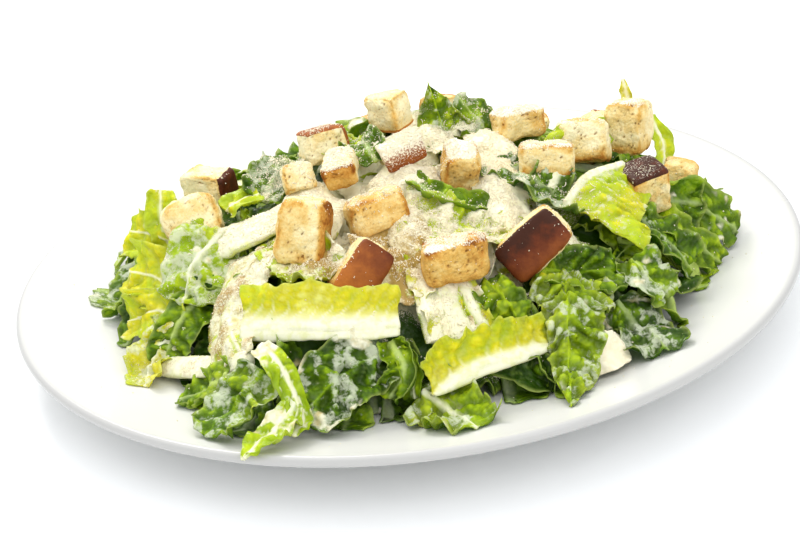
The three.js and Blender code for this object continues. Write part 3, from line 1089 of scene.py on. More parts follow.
heroes = dict(
    heartStrip=dict(
        heart, spine=[(-53, -80, 6), (-28, -91, 7), (-5, -89, 6)], left=(14.5, 13), right=(3.3, 2.8),
        face=(0, -0.75, 0.66), shape="strip", jag=0.9, tear=1.4, curl=(0.5, -0.2), crumple=1.0,
        ruffle=1.3, wave=6, rib=(3.2, 2.8), ribHeight=2.6, ribSoft=1.6, spacing=4.4, slant=0.8,
        pillow=3.0, stretch=(0.4, 1.1), blister=0.9, lobes=0.0, tone=0.84, edgeTone=0.0, sauce=0.08,
        dust=0.1),
    coatedRib=dict(
        spine=[(-46, -47, 5), (-53, -55, 6), (-57, -66, 5), (-53, -90, 2)], left=(12, 8), right=(15, 13),
        jag=1.4, curl=(-0.3, -0.6), crumple=1.0, ruffle=0.9, rib=(0.5, 0.4), ribHeight=0.8, ribSpread=0.8,
        ribSoft=1.5, tone=0.7, sauce=0.8, dust=1.6, strewn=0.4, tan=0.8),
    squareRib=dict(
        spine=[(-83, -59, 2), (-66, -75, 3), (-52, -91, 2)], left=3.5, right=3.5, shape="strip", jag=0.5,
        curl=-0.2, swell=0.3, crumple=0.5, ruffle=0.2, rib=(4.2, 3.6), ribHeight=4.0, tone=0.8,
        sauce=0.35, dust=1.5, strewn=0.6, tan=0.3),
    leftNub=dict(
        spine=[(-58, -92, 2), (-68, -82, 3), (-76, -80, 1)], left=6, right=7, ruffle=1.6, wave=6,
        blister=1.2, edgeTone=0.12, film=0.1),
    frontLeftDark=dict(
        ribless, spine=[(-46, -102, 3), (-56, -108, 4), (-63, -115, 1)], left=9, right=9, jag=1.4,
        ruffle=1.6, rib=(0.5, 0.3), pillow=2.2, blister=1.2, tone=0.32, edgeTone=0.2, film=0.8, sauce=0.12),
    whiteBranch=dict(
        spine=[(-45, -97, 6), (-40, -105, 8), (-36, -112, 7), (-38, -121, 4)], left=(4, 3), right=(5, 6),
        crumple=1.5, ruffle=1.4, wave=5, rib=(0.6, 0.8), ribHeight=0.5, ribSpread=1.5, ribPale=1.0,
        spacing=6.5, slant=1.4, tone=0.54, film=0.3, sauce=0.5),
    branchCurl=dict(
        spine=[(-38, -110, 7), (-43, -120, 5), (-51, -133, 1)], left=(8, 8), right=(6, 5), shape="tip",
        curl=(0.9, 0.6), ruffle=2.2, wave=5, rib=(1.2, 0.5), ribHeight=0.8, ribSpread=2.5, ribPale=1.0,
        spacing=6, slant=1.2, tone=0.56, edgeTone=-0.15, film=0.4, sauce=0.42),
    dressedBullate=dict(
        ribless, spine=[(-9, -92, 4), (-23, -99, 5), (-37, -110, 2)], left=11, right=12,
        face=(0, -0.7, 0.7), pillow=2.2, blister=1.3, tone=0.27, film=0.9, sauce=0.36),
    smallCurl=dict(
        spine=[(-8, -90, 4), (-5, -99, 5), (-10, -101, 3)], left=6, right=6, curl=1.4, ruffle=1.4, wave=5,
        tone=0.42, sauce=0.12),
    curlBetween=dict(
        spine=[(-6, -92, 3), (-3, -99, 3), (-3, -102, -1)], left=4, right=4, curl=1.2, ruffle=1.6, wave=5,
        tone=0.5, film=0.15),
    heartFront=dict(
        heart, spine=[(3, -107, 8), (15, -101, 9), (28, -97, 9), (41, -93, 1)], left=(14, 12),
        right=(2.8, 2.4), face=(0, -0.8, 0.6), shape=("chunk", "boat"), jag=1.6, curl=(0.7, -0.4),
        crumple=1.6, ruffle=2.8, wave=5, rib=(2.7, 2.4), ribHeight=2.2, ribSoft=1.0, spacing=5, slant=0.5,
        pillow=3.2, stretch=(0.8, 0.7), blister=1.4, lobes=0.3, tone=0.88, edgeTone=-0.06, sauce=0.04,
        dust=0.0),
    crinkled=dict(
        spine=[(0, -103, 1), (7, -108, 3), (13, -123, 1)], left=11, right=11, jag=1.5, ruffle=2.6, wave=5,
        pillow=2.2, blister=1.2, tone=0.5, edgeTone=0.15, film=0.6, dust=0.0),
    lobed=dict(
        ribless, spine=[(49, -68, 6), (46, -87, 9), (44, -99, 8), (41, -119, 1)], left=18, right=11,
        face=(0.1, -0.62, 0.75), shape="spear", curl=(-0.3, -0.5), ruffle=1.8, wave=9, ribHeight=0.15,
        spacing=7, pillow=2.6, blister=1.4, lobes=1.4, tone=0.5, edgeTone=0.2, film=0.6, dust=0.0),
    underCrust=dict(
        ribless, spine=[(40, -69, 3), (53, -66, 4), (66, -64, 3)], left=9, right=10, ruffle=2.0,
        blister=1.4, tone=0.34, film=0.3),
    shadeLeaf=dict(
        ribless, spine=[(24, -92, 1), (32, -97, 1), (38, -99, 1)], left=7, right=7, ribHeight=0.9,
        tone=0.0, film=0.05),
    yellowBlade=dict(
        spine=[(54, -46, 9), (63, -36, 12), (78, -20, 10)], left=1.4, right=(32, 15),
        face=(0.05, -0.55, 0.85), shape="strip", curl=(-0.2, -0.4), ruffle=1.8, rib=(1.3, 1.6),
        ribHeight=1.4, spacing=6, blister=0.8, tone=0.65, edgeTone=0.1, film=0.45, dust=1.6, strewn=0.05),
    powderDark=dict(
        spine=[(33, -20, 4), (46, -36, 6), (60, -41, 4)], left=11, right=10, curl=0.8, ruffle=2.6, wave=7,
        blister=1.2, tone=0.24, film=1.0, dust=0.5),
    powderDark2=dict(
        spine=[(57, -14, 4), (53, -30, 6), (46, -44, 4)], left=6, right=7, ruffle=2.0, wave=6,
        rib=(1.8, 1.2), ribPale=1.0, tone=0.24, film=0.9, dust=0.5),
    paleEdge=dict(
        spine=[(71, -61, 5), (75, -68, 7), (80, -70, 5)], left=9, right=8, ruffle=2.2, rib=(0.4, 0.2),
        blister=1.3, tone=0.45, film=0.9, sauce=0.2),
    darkRight=dict(
        spine=[(64, -71, 2), (70, -78, 4), (75, -94, 2)], left=10, right=12, blister=1.3, tone=0.16,
        film=0.7, sauce=0.16, dust=0.0),
    frostCurl=dict(
        spine=[(-47, -18, 2), (-42, -8, 5), (-37, 4, 6)], left=9, right=9, lean=(0, -0.8, 0), ruffle=2.6,
        wave=7, blister=1.3, tone=0.3, film=0.8, dust=2.2),
    frostGrey=dict(
        spine=[(-60, -30, 6), (-69, -39, 9), (-75, -50, 7)], left=14, right=13, face=(-0.2, -0.8, 0.6),
        curl=(-0.3, -0.4), crumple=2.0, ruffle=1.6, wave=7, blister=1.4, tone=0.56, film=1.4, sauce=0.15,
        dust=0.5, strewn=0.4),
    limeUp=dict(
        spine=[(-81, -14, 36), (-84, -7, 46), (-83, -2, 55)], left=6, right=7, fixed=True,
        face=(0.2, -0.95, 0.2), ruffle=2.2, wave=6, blister=0.9, tone=0.8, film=0.3),
    limeOut=dict(
        lime, spine=[(-76, -17, 2), (-88, -9, 8), (-97, -3, 13)], left=10, right=9, face=(-0.2, -0.8, 0.5)),
    limeLow=dict(
        lime, spine=[(-78, -41, 0), (-84, -33, 7), (-96, -20, 8)], left=10, right=11,
        face=(-0.3, -0.7, 0.6), spacing=6),
    limeLow2=dict(
        lime, spine=[(-79, -49, 0), (-84, -44, 5), (-97, -36, 5)], left=9, right=10,
        face=(-0.2, -0.7, 0.6), ruffle=2.6, wave=6, film=0.25, sauce=0.12),
    paleLeft=dict(
        lime, spine=[(-78, -50, 2), (-86, -56, 4), (-89, -69, 1)], left=7, right=8,
        face=(-0.3, -0.75, 0.6), ruffle=2.0, wave=5, tone=0.9, film=0.8, strewn=0.4),
    midGreenLeft=dict(
        spine=[(-67, -45, 2), (-77, -52, 3), (-84, -58, 2)], left=9, right=8, face=(-0.3, -0.8, 0.5),
        crumple=1.5, ruffle=1.4, blister=1.2, tone=0.38, film=0.15),
    slab=dict(
        spine=[(-62, -32, 5), (-50, -35, 6), (-38, -35, 6)], left=7, right=7, shape="strip", curl=-0.3,
        swell=0.5, crumple=0.5, ruffle=0.4, rib=(7.5, 7), ribHeight=3.0, tone=0.85, sauce=0.3, dust=2.5,
        strewn=0.3),
    smallYellow=dict(
        spine=[(-59, -21, 4), (-53, -19, 5), (-47, -16, 5)], left=6, right=5, shape="strip", ruffle=0.8,
        rib=(0.5, 0.3), tone=0.72, film=0.1),
    ribA=dict(
        bareRib, spine=[(3, -70, 3), (4, -81, 4), (6, -92, 3)], left=3.6, right=3.4, rib=(2.6, 2.4),
        tone=0.66),
    ribB=dict(
        bareRib, spine=[(10, -72, 3), (12, -82, 4), (15, -91, 3)], left=4.2, right=4.2, tone=0.64),
    ribC=dict(
        bareRib, spine=[(16, -73, 3), (18, -81, 4), (21, -87, 3)], left=2.6, right=2.6, ruffle=0.3,
        rib=(1.7, 1.4), ribHeight=1.5, tone=0.6, sauce=0.1, dust=0.9),
    ribBed=dict(
        spine=[(8, -66, 3), (11, -78, 3), (14, -90, 2)], left=11, right=11, crumple=0.8, rib=(0.5, 0.3),
        blister=0.6, tone=0.9, film=0.0, sauce=0.5, dust=2.2, tan=0.55),
    greenNub=dict(
        ribless, spine=[(23, -72, 3), (28, -82, 6), (31, -88, 3)], left=7, right=8, curl=-0.7,
        blister=1.4, tone=0.48, edgeTone=-0.2, film=0.05, dust=0.1),
    ruffleEdge=dict(
        spine=[(5, -33, 4), (15, -46, 6), (28, -46, 4)], left=5, right=5, curl=1.3, ruffle=2.0, wave=6,
        rib=(0.5, 0.3), tone=0.3, edgeTone=0.2),
    powderYellow=dict(
        spine=[(0, -40, 2), (16, -56, 4), (38, -52, 3)], left=9, right=8, tone=0.66, film=0.3, sauce=0.25,
        dust=0.8),
    powderLeft=dict(
        spine=[(-40, -38, 2), (-34, -56, 4), (-27, -74, 4)], left=12, right=12, tone=0.7, sauce=0.5,
        dust=1.9, tan=0.8),
    tanMid=dict(
        spine=[(-10, -50, 3), (-4, -66, 4), (0, -79, 3)], left=10, right=(10, 6), crumple=1.6, tone=0.7,
        sauce=0.5, dust=3.0, tan=1.0),
    moundMiddle=dict(
        mound, spine=[(-3, -20, 2), (5, -32, 4), (13, -37, 3)], left=13, right=13, swell=2.4, tone=0.8,
        dust=3.0, tan=0.0),
    moundRight=dict(
        mound, spine=[(34, -12, 3), (34, -34, 4), (35, -51, 3)], left=10, right=10, sauce=0.5, dust=2.8,
        tan=0.25),
    moundTop=dict(
        mound, spine=[(31, 2, 2), (36, -6, 3), (41, -16, 3)], left=10, right=9, dust=3.2, tan=0.0),
    moundFour=dict(
        mound, spine=[(-33, -20, 3), (-25, -38, 1), (-18, -42, 0)], left=9, right=10, tone=0.8, dust=2.6),
    moundLow=dict(
        mound, spine=[(-1, -40, 2), (3, -58, 4), (6, -67, 3)], left=9, right=9, crumple=1.6, sauce=0.4,
        dust=2.4, tan=0.4),
    behindGap=dict(
        spine=[(-26, 14, 2), (-20, 4, 4), (-14, -8, 3)], left=8, right=8, tone=0.62),
    greenCentre=dict(
        spine=[(-6, -20, 4), (-9, -9, 5), (-11, 6, 5)], left=6, right=6, lean=(0, -0.8, 0), ruffle=2.4,
        tone=0.3, film=0.4, dust=0.3),
    rightMid=dict(
        spine=[(76, -40, 3), (86, -44, 4), (95, -48, 3)], left=10, right=10, rib=(0.5, 0.3), blister=1.3,
        tone=0.26, film=0.3),
    topBright=dict(
        ribless, spine=[(23, 12, 48), (19, 12, 62), (16, 13, 76)], left=15, right=13, fixed=True,
        face=(-0.1, -0.9, 0.4), shape="point", curl=(-0.2, -0.5), crumple=3.0, ruffle=1.6, wave=6,
        ribHeight=0.9, pillow=2.5, blister=2.2, tone=0.49, edgeTone=0.22, film=0.7, dust=0.5, strewn=0.36),
    topFrosted=dict(
        spine=[(37, 12, 50), (32, 14, 60), (26, 17, 69)], left=9, right=9, fixed=True,
        face=(0.2, -0.85, 0.5), shape="tip", curl=(-0.3, -0.6), ruffle=2.4, wave=6, rib=(0.5, 0.3),
        blister=1.2, film=0.8, dust=0.9, strewn=0.12),
    rightEdgeLeaf=dict(
        spine=[(97, 22, 50), (100, 16, 40), (98, 6, 28)], left=5, right=5, fixed=True,
        face=(0.5, -0.8, 0.3), shape="tip", ruffle=1.6, tone=0.7, film=0.05),
    sprout=dict(
        spine=[(89, 24, 52), (89, 24, 58), (88, 24, 64)], left=2.4, right=2.0, fixed=True,
        face=(0, -1, 0.2), shape="tip", jag=0.6, ruffle=1.4, wave=4, tone=1.0, film=0.9),
)


# smaller pieces fill the rest of the heap and hang over its edge

filling = {
    "seed": 21,
    "ring": 34,
    "inside": 96,
    "behind": 40,
    "longest": 42.0,
    "shortest": 24.0,
    "widths": (9.0, 15.0),
    "clearance": 15.0,
    "sunk": 4.5,
    "frontEdge": -78.0,
    "crest": (2.0, 96.0),
    "crestShare": 0.6,
    "crestFlatness": 0.35,
    "crestSunk": 6.0,
    "backSunk": 2.0,
    "frontBand": 18.0,
    "frontSunk": 5.5,
    "heapedFrom": 0.4,
    "greenSide": (45.0, -28.0),
    "kindShares": (0.34, 0.3, 0.22, 0.14),
}

kinds = {
    "dark": dict(tone=(0.0, 0.18), film=(0.05, 0.3), ruffle=(1.2, 2.4), blister=1.3, edgeTone=0.08),
    "green": dict(tone=(0.28, 0.46), film=(0.0, 0.25), ruffle=(1.4, 2.6), blister=1.15, edgeTone=0.1),
    "yellow": dict(tone=(0.55, 0.8), film=(0.0, 0.2), ruffle=(1.6, 2.8), blister=0.9, edgeTone=-0.12),
    "thick": dict(tone=(0.7, 0.9), film=(0.1, 0.4), ruffle=(0.5, 1.4), blister=0.5, edgeTone=-0.1),
    "crest": dict(tone=(0.3, 0.45), film=(0.6, 1.1), ruffle=(1.2, 2.4), blister=1.2, edgeTone=0.1),
}


def edgeRadius(angle):
    # how far the heap reaches from its middle at an angle
    run = np.arange(40, 150, 1.0)
    x = heapCentre[0] + run * math.cos(angle)
    y = heapCentre[1] + run * math.sin(angle)
    inside = gridAt(insideHeap.astype(float), x, y) > 0.5
    return float(run[inside].max())


laidSpines = [np.array(leaf["spine"])[:, :2] for leaf in heroes.values() if not leaf.get("fixed")]
topSpines = np.vstack(laidSpines)


def fillerLeaf(rng, x, y, heading, length, lift):
    heaped = float(dustingAt(np.array([x, y, 0.0])))
    kind = ("dark", "green", "yellow", "thick")[rng.choice(4, p=filling["kindShares"])]
    flatness = 1.0
    # yellow under the cheese, dark at the front edge as painted shade, green at the right
    if heaped > filling["heapedFrom"] and kinds[kind]["tone"][1] < 0.5:
        kind = "yellow"
    if y < filling["frontEdge"]:
        kind = "dark"
    if y < filling["frontEdge"] + filling["frontBand"]:
        lift = lift - filling["frontSunk"]
    if x > filling["greenSide"][0] and y < filling["greenSide"][1] and kinds[kind]["tone"][0] > 0.5:
        kind = "green"
    if filling["crest"][0] < y < filling["crest"][1]:
        kind = "crest" if rng.random() < filling["crestShare"] else kind
        lift = lift - filling["crestSunk"] - filling["backSunk"] * (y > 40)
        flatness = filling["crestFlatness"]
    thick = kind == "thick"
    look = kinds[kind]
    ahead = np.array([math.cos(heading), math.sin(heading)])
    turned = heading + rng.uniform(-0.6, 0.6)
    middle = np.array([x, y])
    start = middle - ahead * length / 2
    end = middle + np.array([math.cos(turned), math.sin(turned)]) * length / 2
    crowded = np.min(np.linalg.norm(topSpines - middle, axis=1)) < filling["clearance"]
    lifts = lift + rng.uniform([-2.5, 0.5, -3.0], [1.5, 3.0, 3.0]) - (filling["sunk"] if crowded else 0)
    # a piece is torn from beside the rib, from the blade alone, or along the rib
    torn = "thick" if thick else ["beside", "blade", "along"][rng.choice(3, p=[0.4, 0.35, 0.25])]
    wide = rng.uniform(*filling["widths"])
    left, right = {
        "thick": (rng.uniform(4, 6), rng.uniform(4, 6)),
        "beside": (rng.uniform(1.5, 3), wide),
        "blade": (wide * 0.6, wide * 0.7),
        "along": (wide * 0.7, wide * 0.6),
    }[torn]
    if rng.random() < 0.5:
        left, right = right, left
    shapes = ["chunk", "tip", "fan", "strip"]
    return {
        "spine": [(*start, lifts[0]), (*middle, lifts[1]), (*end, lifts[2])],
        "left": left,
        "right": right,
        "tone": rng.uniform(*look["tone"]),
        "film": rng.uniform(*look["film"]),
        "edgeTone": look["edgeTone"],
        "ruffle": rng.uniform(*look["ruffle"]),
        "wave": rng.uniform(5.5, 9),
        "blister": look["blister"],
        "curl": (rng.uniform(-0.8, 1.0) * flatness, rng.uniform(-0.8, 1.0) * flatness),
        "twist": rng.uniform(-70, 70) * flatness,
        "shape": "strip" if thick else shapes[rng.choice(4, p=[0.45, 0.15, 0.2, 0.2])],
        "rib": {"thick": (3.4, 2.6), "beside": (1.8, 1.0), "blade": (0.3, 0.2), "along": (1.2, 0.5)}[torn],
        "ribHeight": 2.4 if thick else 1.0,
        "swell": 0.4 if thick else 1.8,
        "jag": 0.6 if thick else 1.2,
        "sauce": rng.choice([0.0, 0.08, 0.16, 0.3], p=[0.4, 0.3, 0.2, 0.1]) + 0.35 * heaped,
        "dust": rng.uniform(0.3, 1.3) + 2.0 * heaped,
        "lean": tuple(rng.uniform(-0.4, 0.4, 3)),
    }


def spotAt(angle, reach):
    return heapCentre[0] + reach * math.cos(angle), heapCentre[1] + reach * math.sin(angle)


def makeFilling():
    rng = np.random.default_rng(filling["seed"])
    shortest, longest = filling["shortest"], filling["longest"]
    turnStep = math.pi * (3 - math.sqrt(5))  # the golden angle spreads pieces evenly
    leaves = []
    for number in range(filling["ring"]):  # hanging over the edge
        angle = 2 * math.pi * (number + rng.uniform(-0.3, 0.3)) / filling["ring"]
        length = rng.uniform(shortest, longest - 6)
        x, y = spotAt(angle, edgeRadius(angle) - length * 0.36)
        heading, lift = angle + rng.uniform(-0.7, 0.7), rng.uniform(-0.5, 2.0)
        leaves.append(fillerLeaf(rng, x, y, heading, length, lift))
    for number in range(filling["inside"]):
        share = math.sqrt((number + 0.5) / filling["inside"]) * 0.9
        angle = number * turnStep + rng.uniform(-0.2, 0.2)
        x, y = spotAt(angle, edgeRadius(angle) * share)
        length, heading = rng.uniform(shortest, longest), rng.uniform(0, 2 * math.pi)
        lift = rng.uniform(-1.5, 1.5 + 2.5 * smooth(np.array(y), 0, 40))
        leaves.append(fillerLeaf(rng, x, y, heading, length, lift))
    for number in range(filling["behind"]):  # more of them on the back slope
        share = math.sqrt((number + 0.5) / filling["behind"]) * 0.95
        angle = (number * turnStep) % math.pi
        reach = edgeRadius(angle) * share
        x = heapCentre[0] + reach * math.cos(angle)
        y = heapCentre[1] + 12 + (reach - 6) * math.sin(angle)
        length, heading = rng.uniform(shortest, longest), rng.uniform(0, 2 * math.pi)
        leaves.append(fillerLeaf(rng, x, y, heading, length, rng.uniform(2.0, 5.0)))
    return leaves


def fillStep(leaf):
    return romaine["gridBehind"] if leaf["spine"][1][1] > 14 else romaine["gridFill"]


def joinShapes(shapes):
    start = 0
    faces = []
    for shape in shapes:
        faces.append(shape["faces"] + start)
        start += len(shape["points"])
    return np.vstack([s["points"] for s in shapes]), np.vstack(faces)


greenLook = dict(glow=rgb(134, 190, 8), share=0.3, veinShare=0.45, creaseShadeShare=0.75)
heartLook = dict(glow=rgb(240, 236, 40), share=0.28, veinShare=0.3, creaseShadeShare=0.25)
greenFinish = leafFinish("green romaine", **greenLook)
heartFinish = leafFinish("heart of romaine", **heartLook)


def joinLeaves(name, shapes):
    # leaves are joined into a few pieces, each under the limit of triangles
    made = []
    batch = []
    size = 0
    for shape in shapes + [None]:
        if shape is None or size + 2 * len(shape["faces"]) > romaine["mostTriangles"]:
            points, faces = joinShapes(batch)
            fields = {key: np.concatenate([b["fields"][key] for b in batch]) for key in batch[0]["fields"]}
            pale = np.concatenate([np.full(len(b["faces"]), b["pale"]) for b in batch])
            title = "%s_%d" % (name, len(made) + 1)
            piece = makePiece(title, points, faces, [greenFinish, heartFinish], fields, pale)
            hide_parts("lettuce_heap")
            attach(piece, "root")
            made.append({"points": points, "faces": faces, "takes": fields["dust"]})
            batch = []
            size = 0
        if shape is not None:
            batch.append(shape)
            size += 2 * len(shape["faces"])
    return made


heroShapes = [Leaf(leaf, 100 + i, romaine["gridFront"]).shell() for i, leaf in enumerate(heroes.values())]
fillShapes = [Leaf(leaf, 400 + i, fillStep(leaf)).shell() for i, leaf in enumerate(makeFilling())]
leafMeshes = joinLeaves("romaine_top", heroShapes) + joinLeaves("romaine_fill", fillShapes)
print("romaine made:", len(heroShapes), "top pieces,", len(fillShapes), "filling pieces")


# core of the heap: packed leaves that show only as dark gaps, coloured near the deepest green as painted
# shade

heapCore = {
    "share": 0.9,
    "sink": 5.0,
    "rings": 56,
    "ringsBelow": 12,
    "sectors": 190,
    "leafWidth": 17.0,
    "leafRise": 5.0,
    "pillowRise": 1.0,
    "lumps": 3.0,
    "gap": 0.3,
    "leastThickness": 1.2,
}


def coreFolds(place):
    # where one leaf ends and the next begins, and the pillows on each
    bent = place + 6.0 * (noiseAt(place, 12.0, 3.0) - 0.5)[..., None]
    near, second = cellsAt(bent, heapCore["leafWidth"], 61)
    small, smallNext = cellsAt(place, plainLeaf["pillow"] * 1.4, 62)
    return smooth(second - near, 0.0, 0.35), np.sqrt(smooth(smallNext - small, 0.0, 0.8))


def makeCore():
    look = heapCore
    angles = np.linspace(0, 2 * np.pi, look["sectors"], endpoint=False)
    reach = np.array([edgeRadius(a) for a in angles]) * look["share"]
    profile = [(share, True) for share in np.linspace(0, 1, look["rings"])]
    profile += [(share, False) for share in np.linspace(1, 0, look["ringsBelow"])[1:]]
    points = []
    for share, top in profile:
        x = heapCentre[0] + share * reach * np.cos(angles)
        y = heapCentre[1] + share * reach * np.sin(angles)
        z = plateTop(np.hypot(x, y)) + look["gap"]
        if top:
            place = placeAt(x, y, 0)
            fold, lobe = coreFolds(place)
            ridge = look["leafRise"] * (fold - 0.7) + look["pillowRise"] * lobe
            ridge = ridge + look["lumps"] * (noiseAt(place, 9.0) - 0.5)
            z = np.maximum(skinAt(x, y) - look["sink"] + ridge, z + look["leastThickness"])
        points.append(np.stack([x, y, z], -1))
    points = np.vstack(points)
    faces = []
    for low in range(0, (len(profile) - 1) * look["sectors"], look["sectors"]):
        high = low + look["sectors"]
        for s in range(look["sectors"]):
            after = (s + 1) % look["sectors"]
            faces.append((low + s, high + s, high + after, low + after))
    flat = points * np.array([1, 1, 0])
    fold, lobe = coreFolds(flat)
    # painted shade: the core is near the deepest green, darker still towards the front, with its folds
    # lighter
    tone = 0.02 + 0.4 * cloudAt(flat, 15.0, 1.3) * smooth(flat[:, 1], -80, 0) + 0.16 * (fold * lobe - 0.5)
    none = 0 * fold
    fields = {
        "tone": tone,
        "rib": none,
        "vein": none,
        "crease": np.clip(1 - fold * (0.4 + 0.6 * lobe), 0, 1),
        "film": 0.5 * lobe * cloudAt(flat, 6.0),
        "sauce": none,
        "dust": 2.4 * smooth(dustingAt(points), 0.4, 0.9),
        "tan": none + 0.1,
        "edge": none,
    }
    piece = makePiece("packed_core", points, faces, [greenFinish], fields)
    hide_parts("lettuce_heap")
    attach(piece, "root")
    return {"points": points, "faces": np.array(faces), "takes": 0.5 * dustingAt(points)}


core = makeCore()
print("core made")


# grated hard cheese: fine grains and short shreds that have fallen on everything

gratedCheese = {
    "seed": 5,
    "tries": 215000,
    "powderSize": (0.12, 0.26),
    "grainSize": (0.22, 0.4),
    "grainShare": 0.12,
    "shredShare": 0.012,
    "shredLength": (1.2, 2.8),
    "shredWidth": (0.16, 0.3),
    "middle": (4.0, -26.0),
    "spread": 34.0,
    "heapedShare": 0.8,
    "onPlate": 0.015,
    "loose": 0.02,
    "strewnReach": 128.0,
    "farthest": 130.0,
    "clumps": 7.0,
    "flakeGrid": 0.4,
    "colour": rgb(254, 248, 228),
    "shade": rgb(244, 230, 190),
}


def cheeseFinish():
    finish = Finish("hard cheese")
    patch = finish.noise(3, 3)
    finish.set(Base_Color=finish.mix(patch, gratedCheese["colour"], gratedCheese["shade"]))
    finish.set(Roughness=0.55, Normal=finish.bump(finish.noise(0.5, 3), 0.15))
    return finish.material


def landingTree():
    # the surfaces that cheese can land on, and how much of it stays on each face
    shapes = leafMeshes + croutons + [core]
    points, faces = joinShapes(shapes)
    takes = np.concatenate([shape["takes"][shape["faces"]].mean(1) for shape in shapes])
    return BVHTree.FromPolygons(points.tolist(), faces.tolist()), takes


grainCorners = np.array([(1, 0, 0), (-1, 0, 0), (0, 1, 0), (0, -1, 0), (0, 0, 1), (0, 0, -1)], float)
grainFaces = np.array([
    (0, 2, 4), (2, 1, 4), (1, 3, 4), (3, 0, 4), (2, 0, 5), (1, 2, 5), (3, 1, 5), (0, 3, 5),
])

powderCorners = np.array([(1, 1, 1), (-1, -1, 1), (-1, 1, -1), (1, -1, -1)], float) * 0.75
powderFaces = np.array([(0, 2, 1), (0, 1, 3), (0, 3, 2), (1, 2, 3)])


def randomTurn(rng):
    axis = unit(rng.normal(size=3))
    return np.array(Matrix.Rotation(rng.uniform(0, 2 * math.pi), 3, Vector(axis)))


def makeShred(rng):
    # a bent sliver of three sides
    look = gratedCheese
    length = rng.uniform(*look["shredLength"])
    wide = rng.uniform(*look["shredWidth"])
    bend = rng.uniform(-0.5, 0.5)
    rings = []
    for t in (-0.5, -0.17, 0.17, 0.5):
        middle = np.array([t * length, bend * length * (0.25 - t * t) * 2, 0])
        taper = wide * (1 - 1.2 * t * t)
        for angle in (0.5, 2.6, 4.7):
            rings.append(middle + np.array([0, taper * math.cos(angle), 0.6 * taper * math.sin(angle)]))
    faces = []
    for ring in range(3):
        for k in range(3):
            a, b = ring * 3 + k, ring * 3 + (k + 1) % 3
            faces += [(a, a + 3, b + 3), (a, b + 3, b)]
    faces += [(0, 1, 2), (11, 10, 9)]
    return np.array(rings), np.array(faces)


def fallPlaces(rng):
    # where it comes down: most of it in one shower, and all of it in clumps
    look = gratedCheese
    tries = look["tries"]
    heaped = rng.normal(look["middle"], look["spread"], (tries, 2))
    strewn = rng.uniform(-look["strewnReach"], look["strewnReach"], (tries, 2))
    falls = np.where(rng.random((tries, 1)) < look["heapedShare"], heaped, strewn)
    clump = cloudAt(placeAt(*falls.T, 0), look["clumps"], 6.6)
    kept = (np.hypot(*falls.T) < look["farthest"]) & (clump > rng.uniform(0.05, 0.95, tries))
    return falls[kept]


def makeBit(rng, normal):
    # the piece that it belongs to, its shape about its own middle, and its lift off the surface
    look = gratedCheese
    draw = rng.random()
    if draw < look["shredShare"]:
        shape, faces = makeShred(rng)
        spin = Matrix.Rotation(rng.uniform(0, 2 * math.pi), 3, "Z")
        tilt = Vector((0, 0, 1)).rotation_difference(Vector(normal)).to_matrix()
        return "cheese_shreds", shape @ np.array(tilt @ spin).T, faces, normal * 0.2
    coarse = draw > 1 - look["grainShare"]
    corners, faces = (grainCorners, grainFaces) if coarse else (powderCorners, powderFaces)
    size = rng.uniform(*look["grainSize" if coarse else "powderSize"])
    shape = (corners * rng.uniform(0.6, 1.3, 3) * size) @ randomTurn(rng).T
    return "cheese_grains" if coarse else "cheese_powder", shape, faces, normal * size * 0.35


def scatterCheese():
    look = gratedCheese
    rng = np.random.default_rng(look["seed"])
    tree, takes = landingTree()
    plateCorners = [tuple(v.co / mm) for v in plate.data.vertices]
    plateTree = BVHTree.FromPolygons(plateCorners, [tuple(p.vertices) for p in plate.data.polygons])
    down = Vector((0, 0, -1))
    parts = {"cheese_powder": [], "cheese_grains": [], "cheese_shreds": []}
    for x, y in fallPlaces(rng):
        above = Vector((x, y, 160))
        place, normal, number, _ = tree.ray_cast(above, down)
        if place is None:
            if rng.random() > look["onPlate"]:
                continue
            place, normal, _, _ = plateTree.ray_cast(above, down)
        elif rng.random() > look["loose"] + takes[number]:
            continue
        normal = np.array(normal if normal.z > 0 else -normal)
        name, shape, faces, lift = makeBit(rng, normal)
        parts[name].append({"points": shape + np.array(place) + lift, "faces": faces})
    finish = cheeseFinish()
    for name, pieces in parts.items():
        points, faces = joinShapes(pieces)
        piece = makePiece(name, points, faces, [finish])
        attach(piece, "root")
    return {name: len(pieces) for name, pieces in parts.items()}


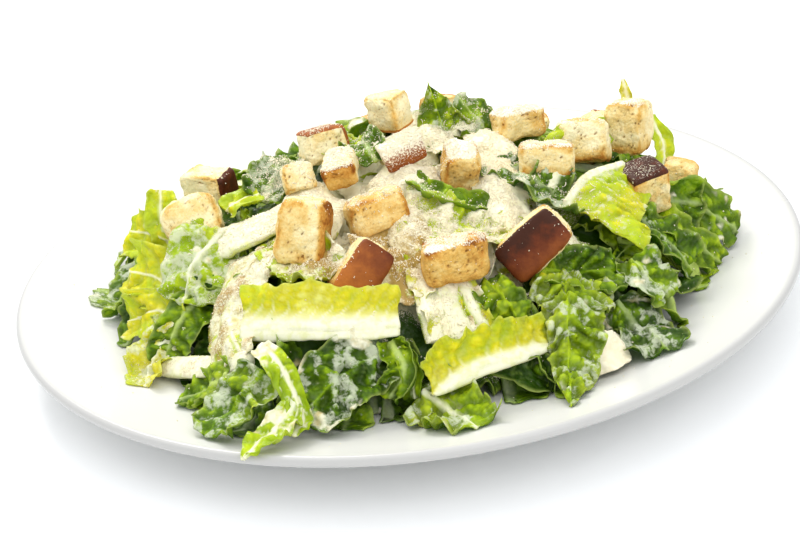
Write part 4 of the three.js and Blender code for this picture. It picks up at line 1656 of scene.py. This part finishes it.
def makeFlake():
    # the shaving of cheese: the CAD slab, remeshed fine, with a broken surface and edges
    piece = addObject("cheese_shaving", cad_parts["cheese_flake"].data.copy())
    piece.data.materials.clear()
    remesh = piece.modifiers.new("fine", "REMESH")
    remesh.mode = "VOXEL"
    remesh.voxel_size = gratedCheese["flakeGrid"] * mm
    depsgraph = bpy.context.evaluated_depsgraph_get()
    mesh = bpy.data.meshes.new_from_object(piece.evaluated_get(depsgraph))
    piece.modifiers.clear()
    piece.data = mesh
    points = np.empty(len(mesh.vertices) * 3)
    mesh.vertices.foreach_get("co", points)
    points = points.reshape(-1, 3) / mm
    normals = np.array([v.normal for v in mesh.vertices])
    shift = 0.8 * (noiseAt(points, 2.6) - 0.6) + 0.4 * (noiseAt(points, 0.9) - 0.5)
    points = points + normals * shift[:, None]
    mesh.vertices.foreach_set("co", (points * mm).ravel())
    mesh.polygons.foreach_set("use_smooth", np.ones(len(mesh.polygons), bool))
    mesh.materials.append(cheeseFinish())
    mesh.update()
    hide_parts("cheese_flake")
    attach(piece, "root")


makeFlake()
print("grated cheese scattered:", scatterCheese())


# table and light

studio = {
    "aim": (0, 0, 0.03),
    "floorWidth": 5.0,
    "floorColour": rgb(246, 247, 248),
    "world": 0.86,
    "worldColour": rgb(248, 251, 255),
    "lamps": {
        "back": {"place": (-0.3, 0.75, 0.9), "width": 0.45, "power": 8.0, "colour": (1.0, 0.98, 0.94)},
        "over": {"place": (0.0, -0.15, 1.05), "width": 1.1, "power": 4.4, "colour": (1.0, 1.0, 0.98)},
        "front": {"place": (0.3, -0.9, 0.8), "width": 0.8, "power": 4.2, "colour": (1.0, 1.0, 1.0)},
        "left": {"place": (-0.9, 0.1, 0.8), "width": 0.6, "power": 1.1, "colour": (1.0, 0.99, 0.96)},
    },
}


def makeStudio():
    half = studio["floorWidth"] / 2
    corners = [(-half, -half, 0), (half, -half, 0), (half, half, 0), (-half, half, 0)]
    mesh = bpy.data.meshes.new("table")
    mesh.from_pydata(corners, [], [(0, 1, 2, 3)])
    table = addObject("table", mesh)
    finish = Finish("white table")
    finish.set(Base_Color=studio["floorColour"], Roughness=0.6)
    mesh.materials.append(finish.material)
    for name, look in studio["lamps"].items():
        lamp = bpy.data.lights.new(name, "AREA")
        lamp.shape = "SQUARE"
        lamp.size = look["width"]
        lamp.energy = look["power"]
        lamp.color = look["colour"]
        holder = addObject(name, lamp)
        holder.location = look["place"]
        towards = Vector(studio["aim"]) - holder.location
        holder.rotation_euler = towards.to_track_quat("-Z", "Y").to_euler()
    world = bpy.data.worlds.new("studio")
    bpy.context.scene.world = world
    world.use_nodes = True
    sky = world.node_tree.nodes["Background"]
    sky.inputs["Color"].default_value = studio["worldColour"]
    sky.inputs["Strength"].default_value = studio["world"]
    bpy.context.scene.view_settings.view_transform = "Standard"


makeStudio()
print("studio made")

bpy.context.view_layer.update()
shown = [o.data for o in bpy.data.objects if o.type == "MESH" and not o.hide_render]
print("triangles:", sum(len(p.vertices) - 2 for mesh in shown for p in mesh.polygons))
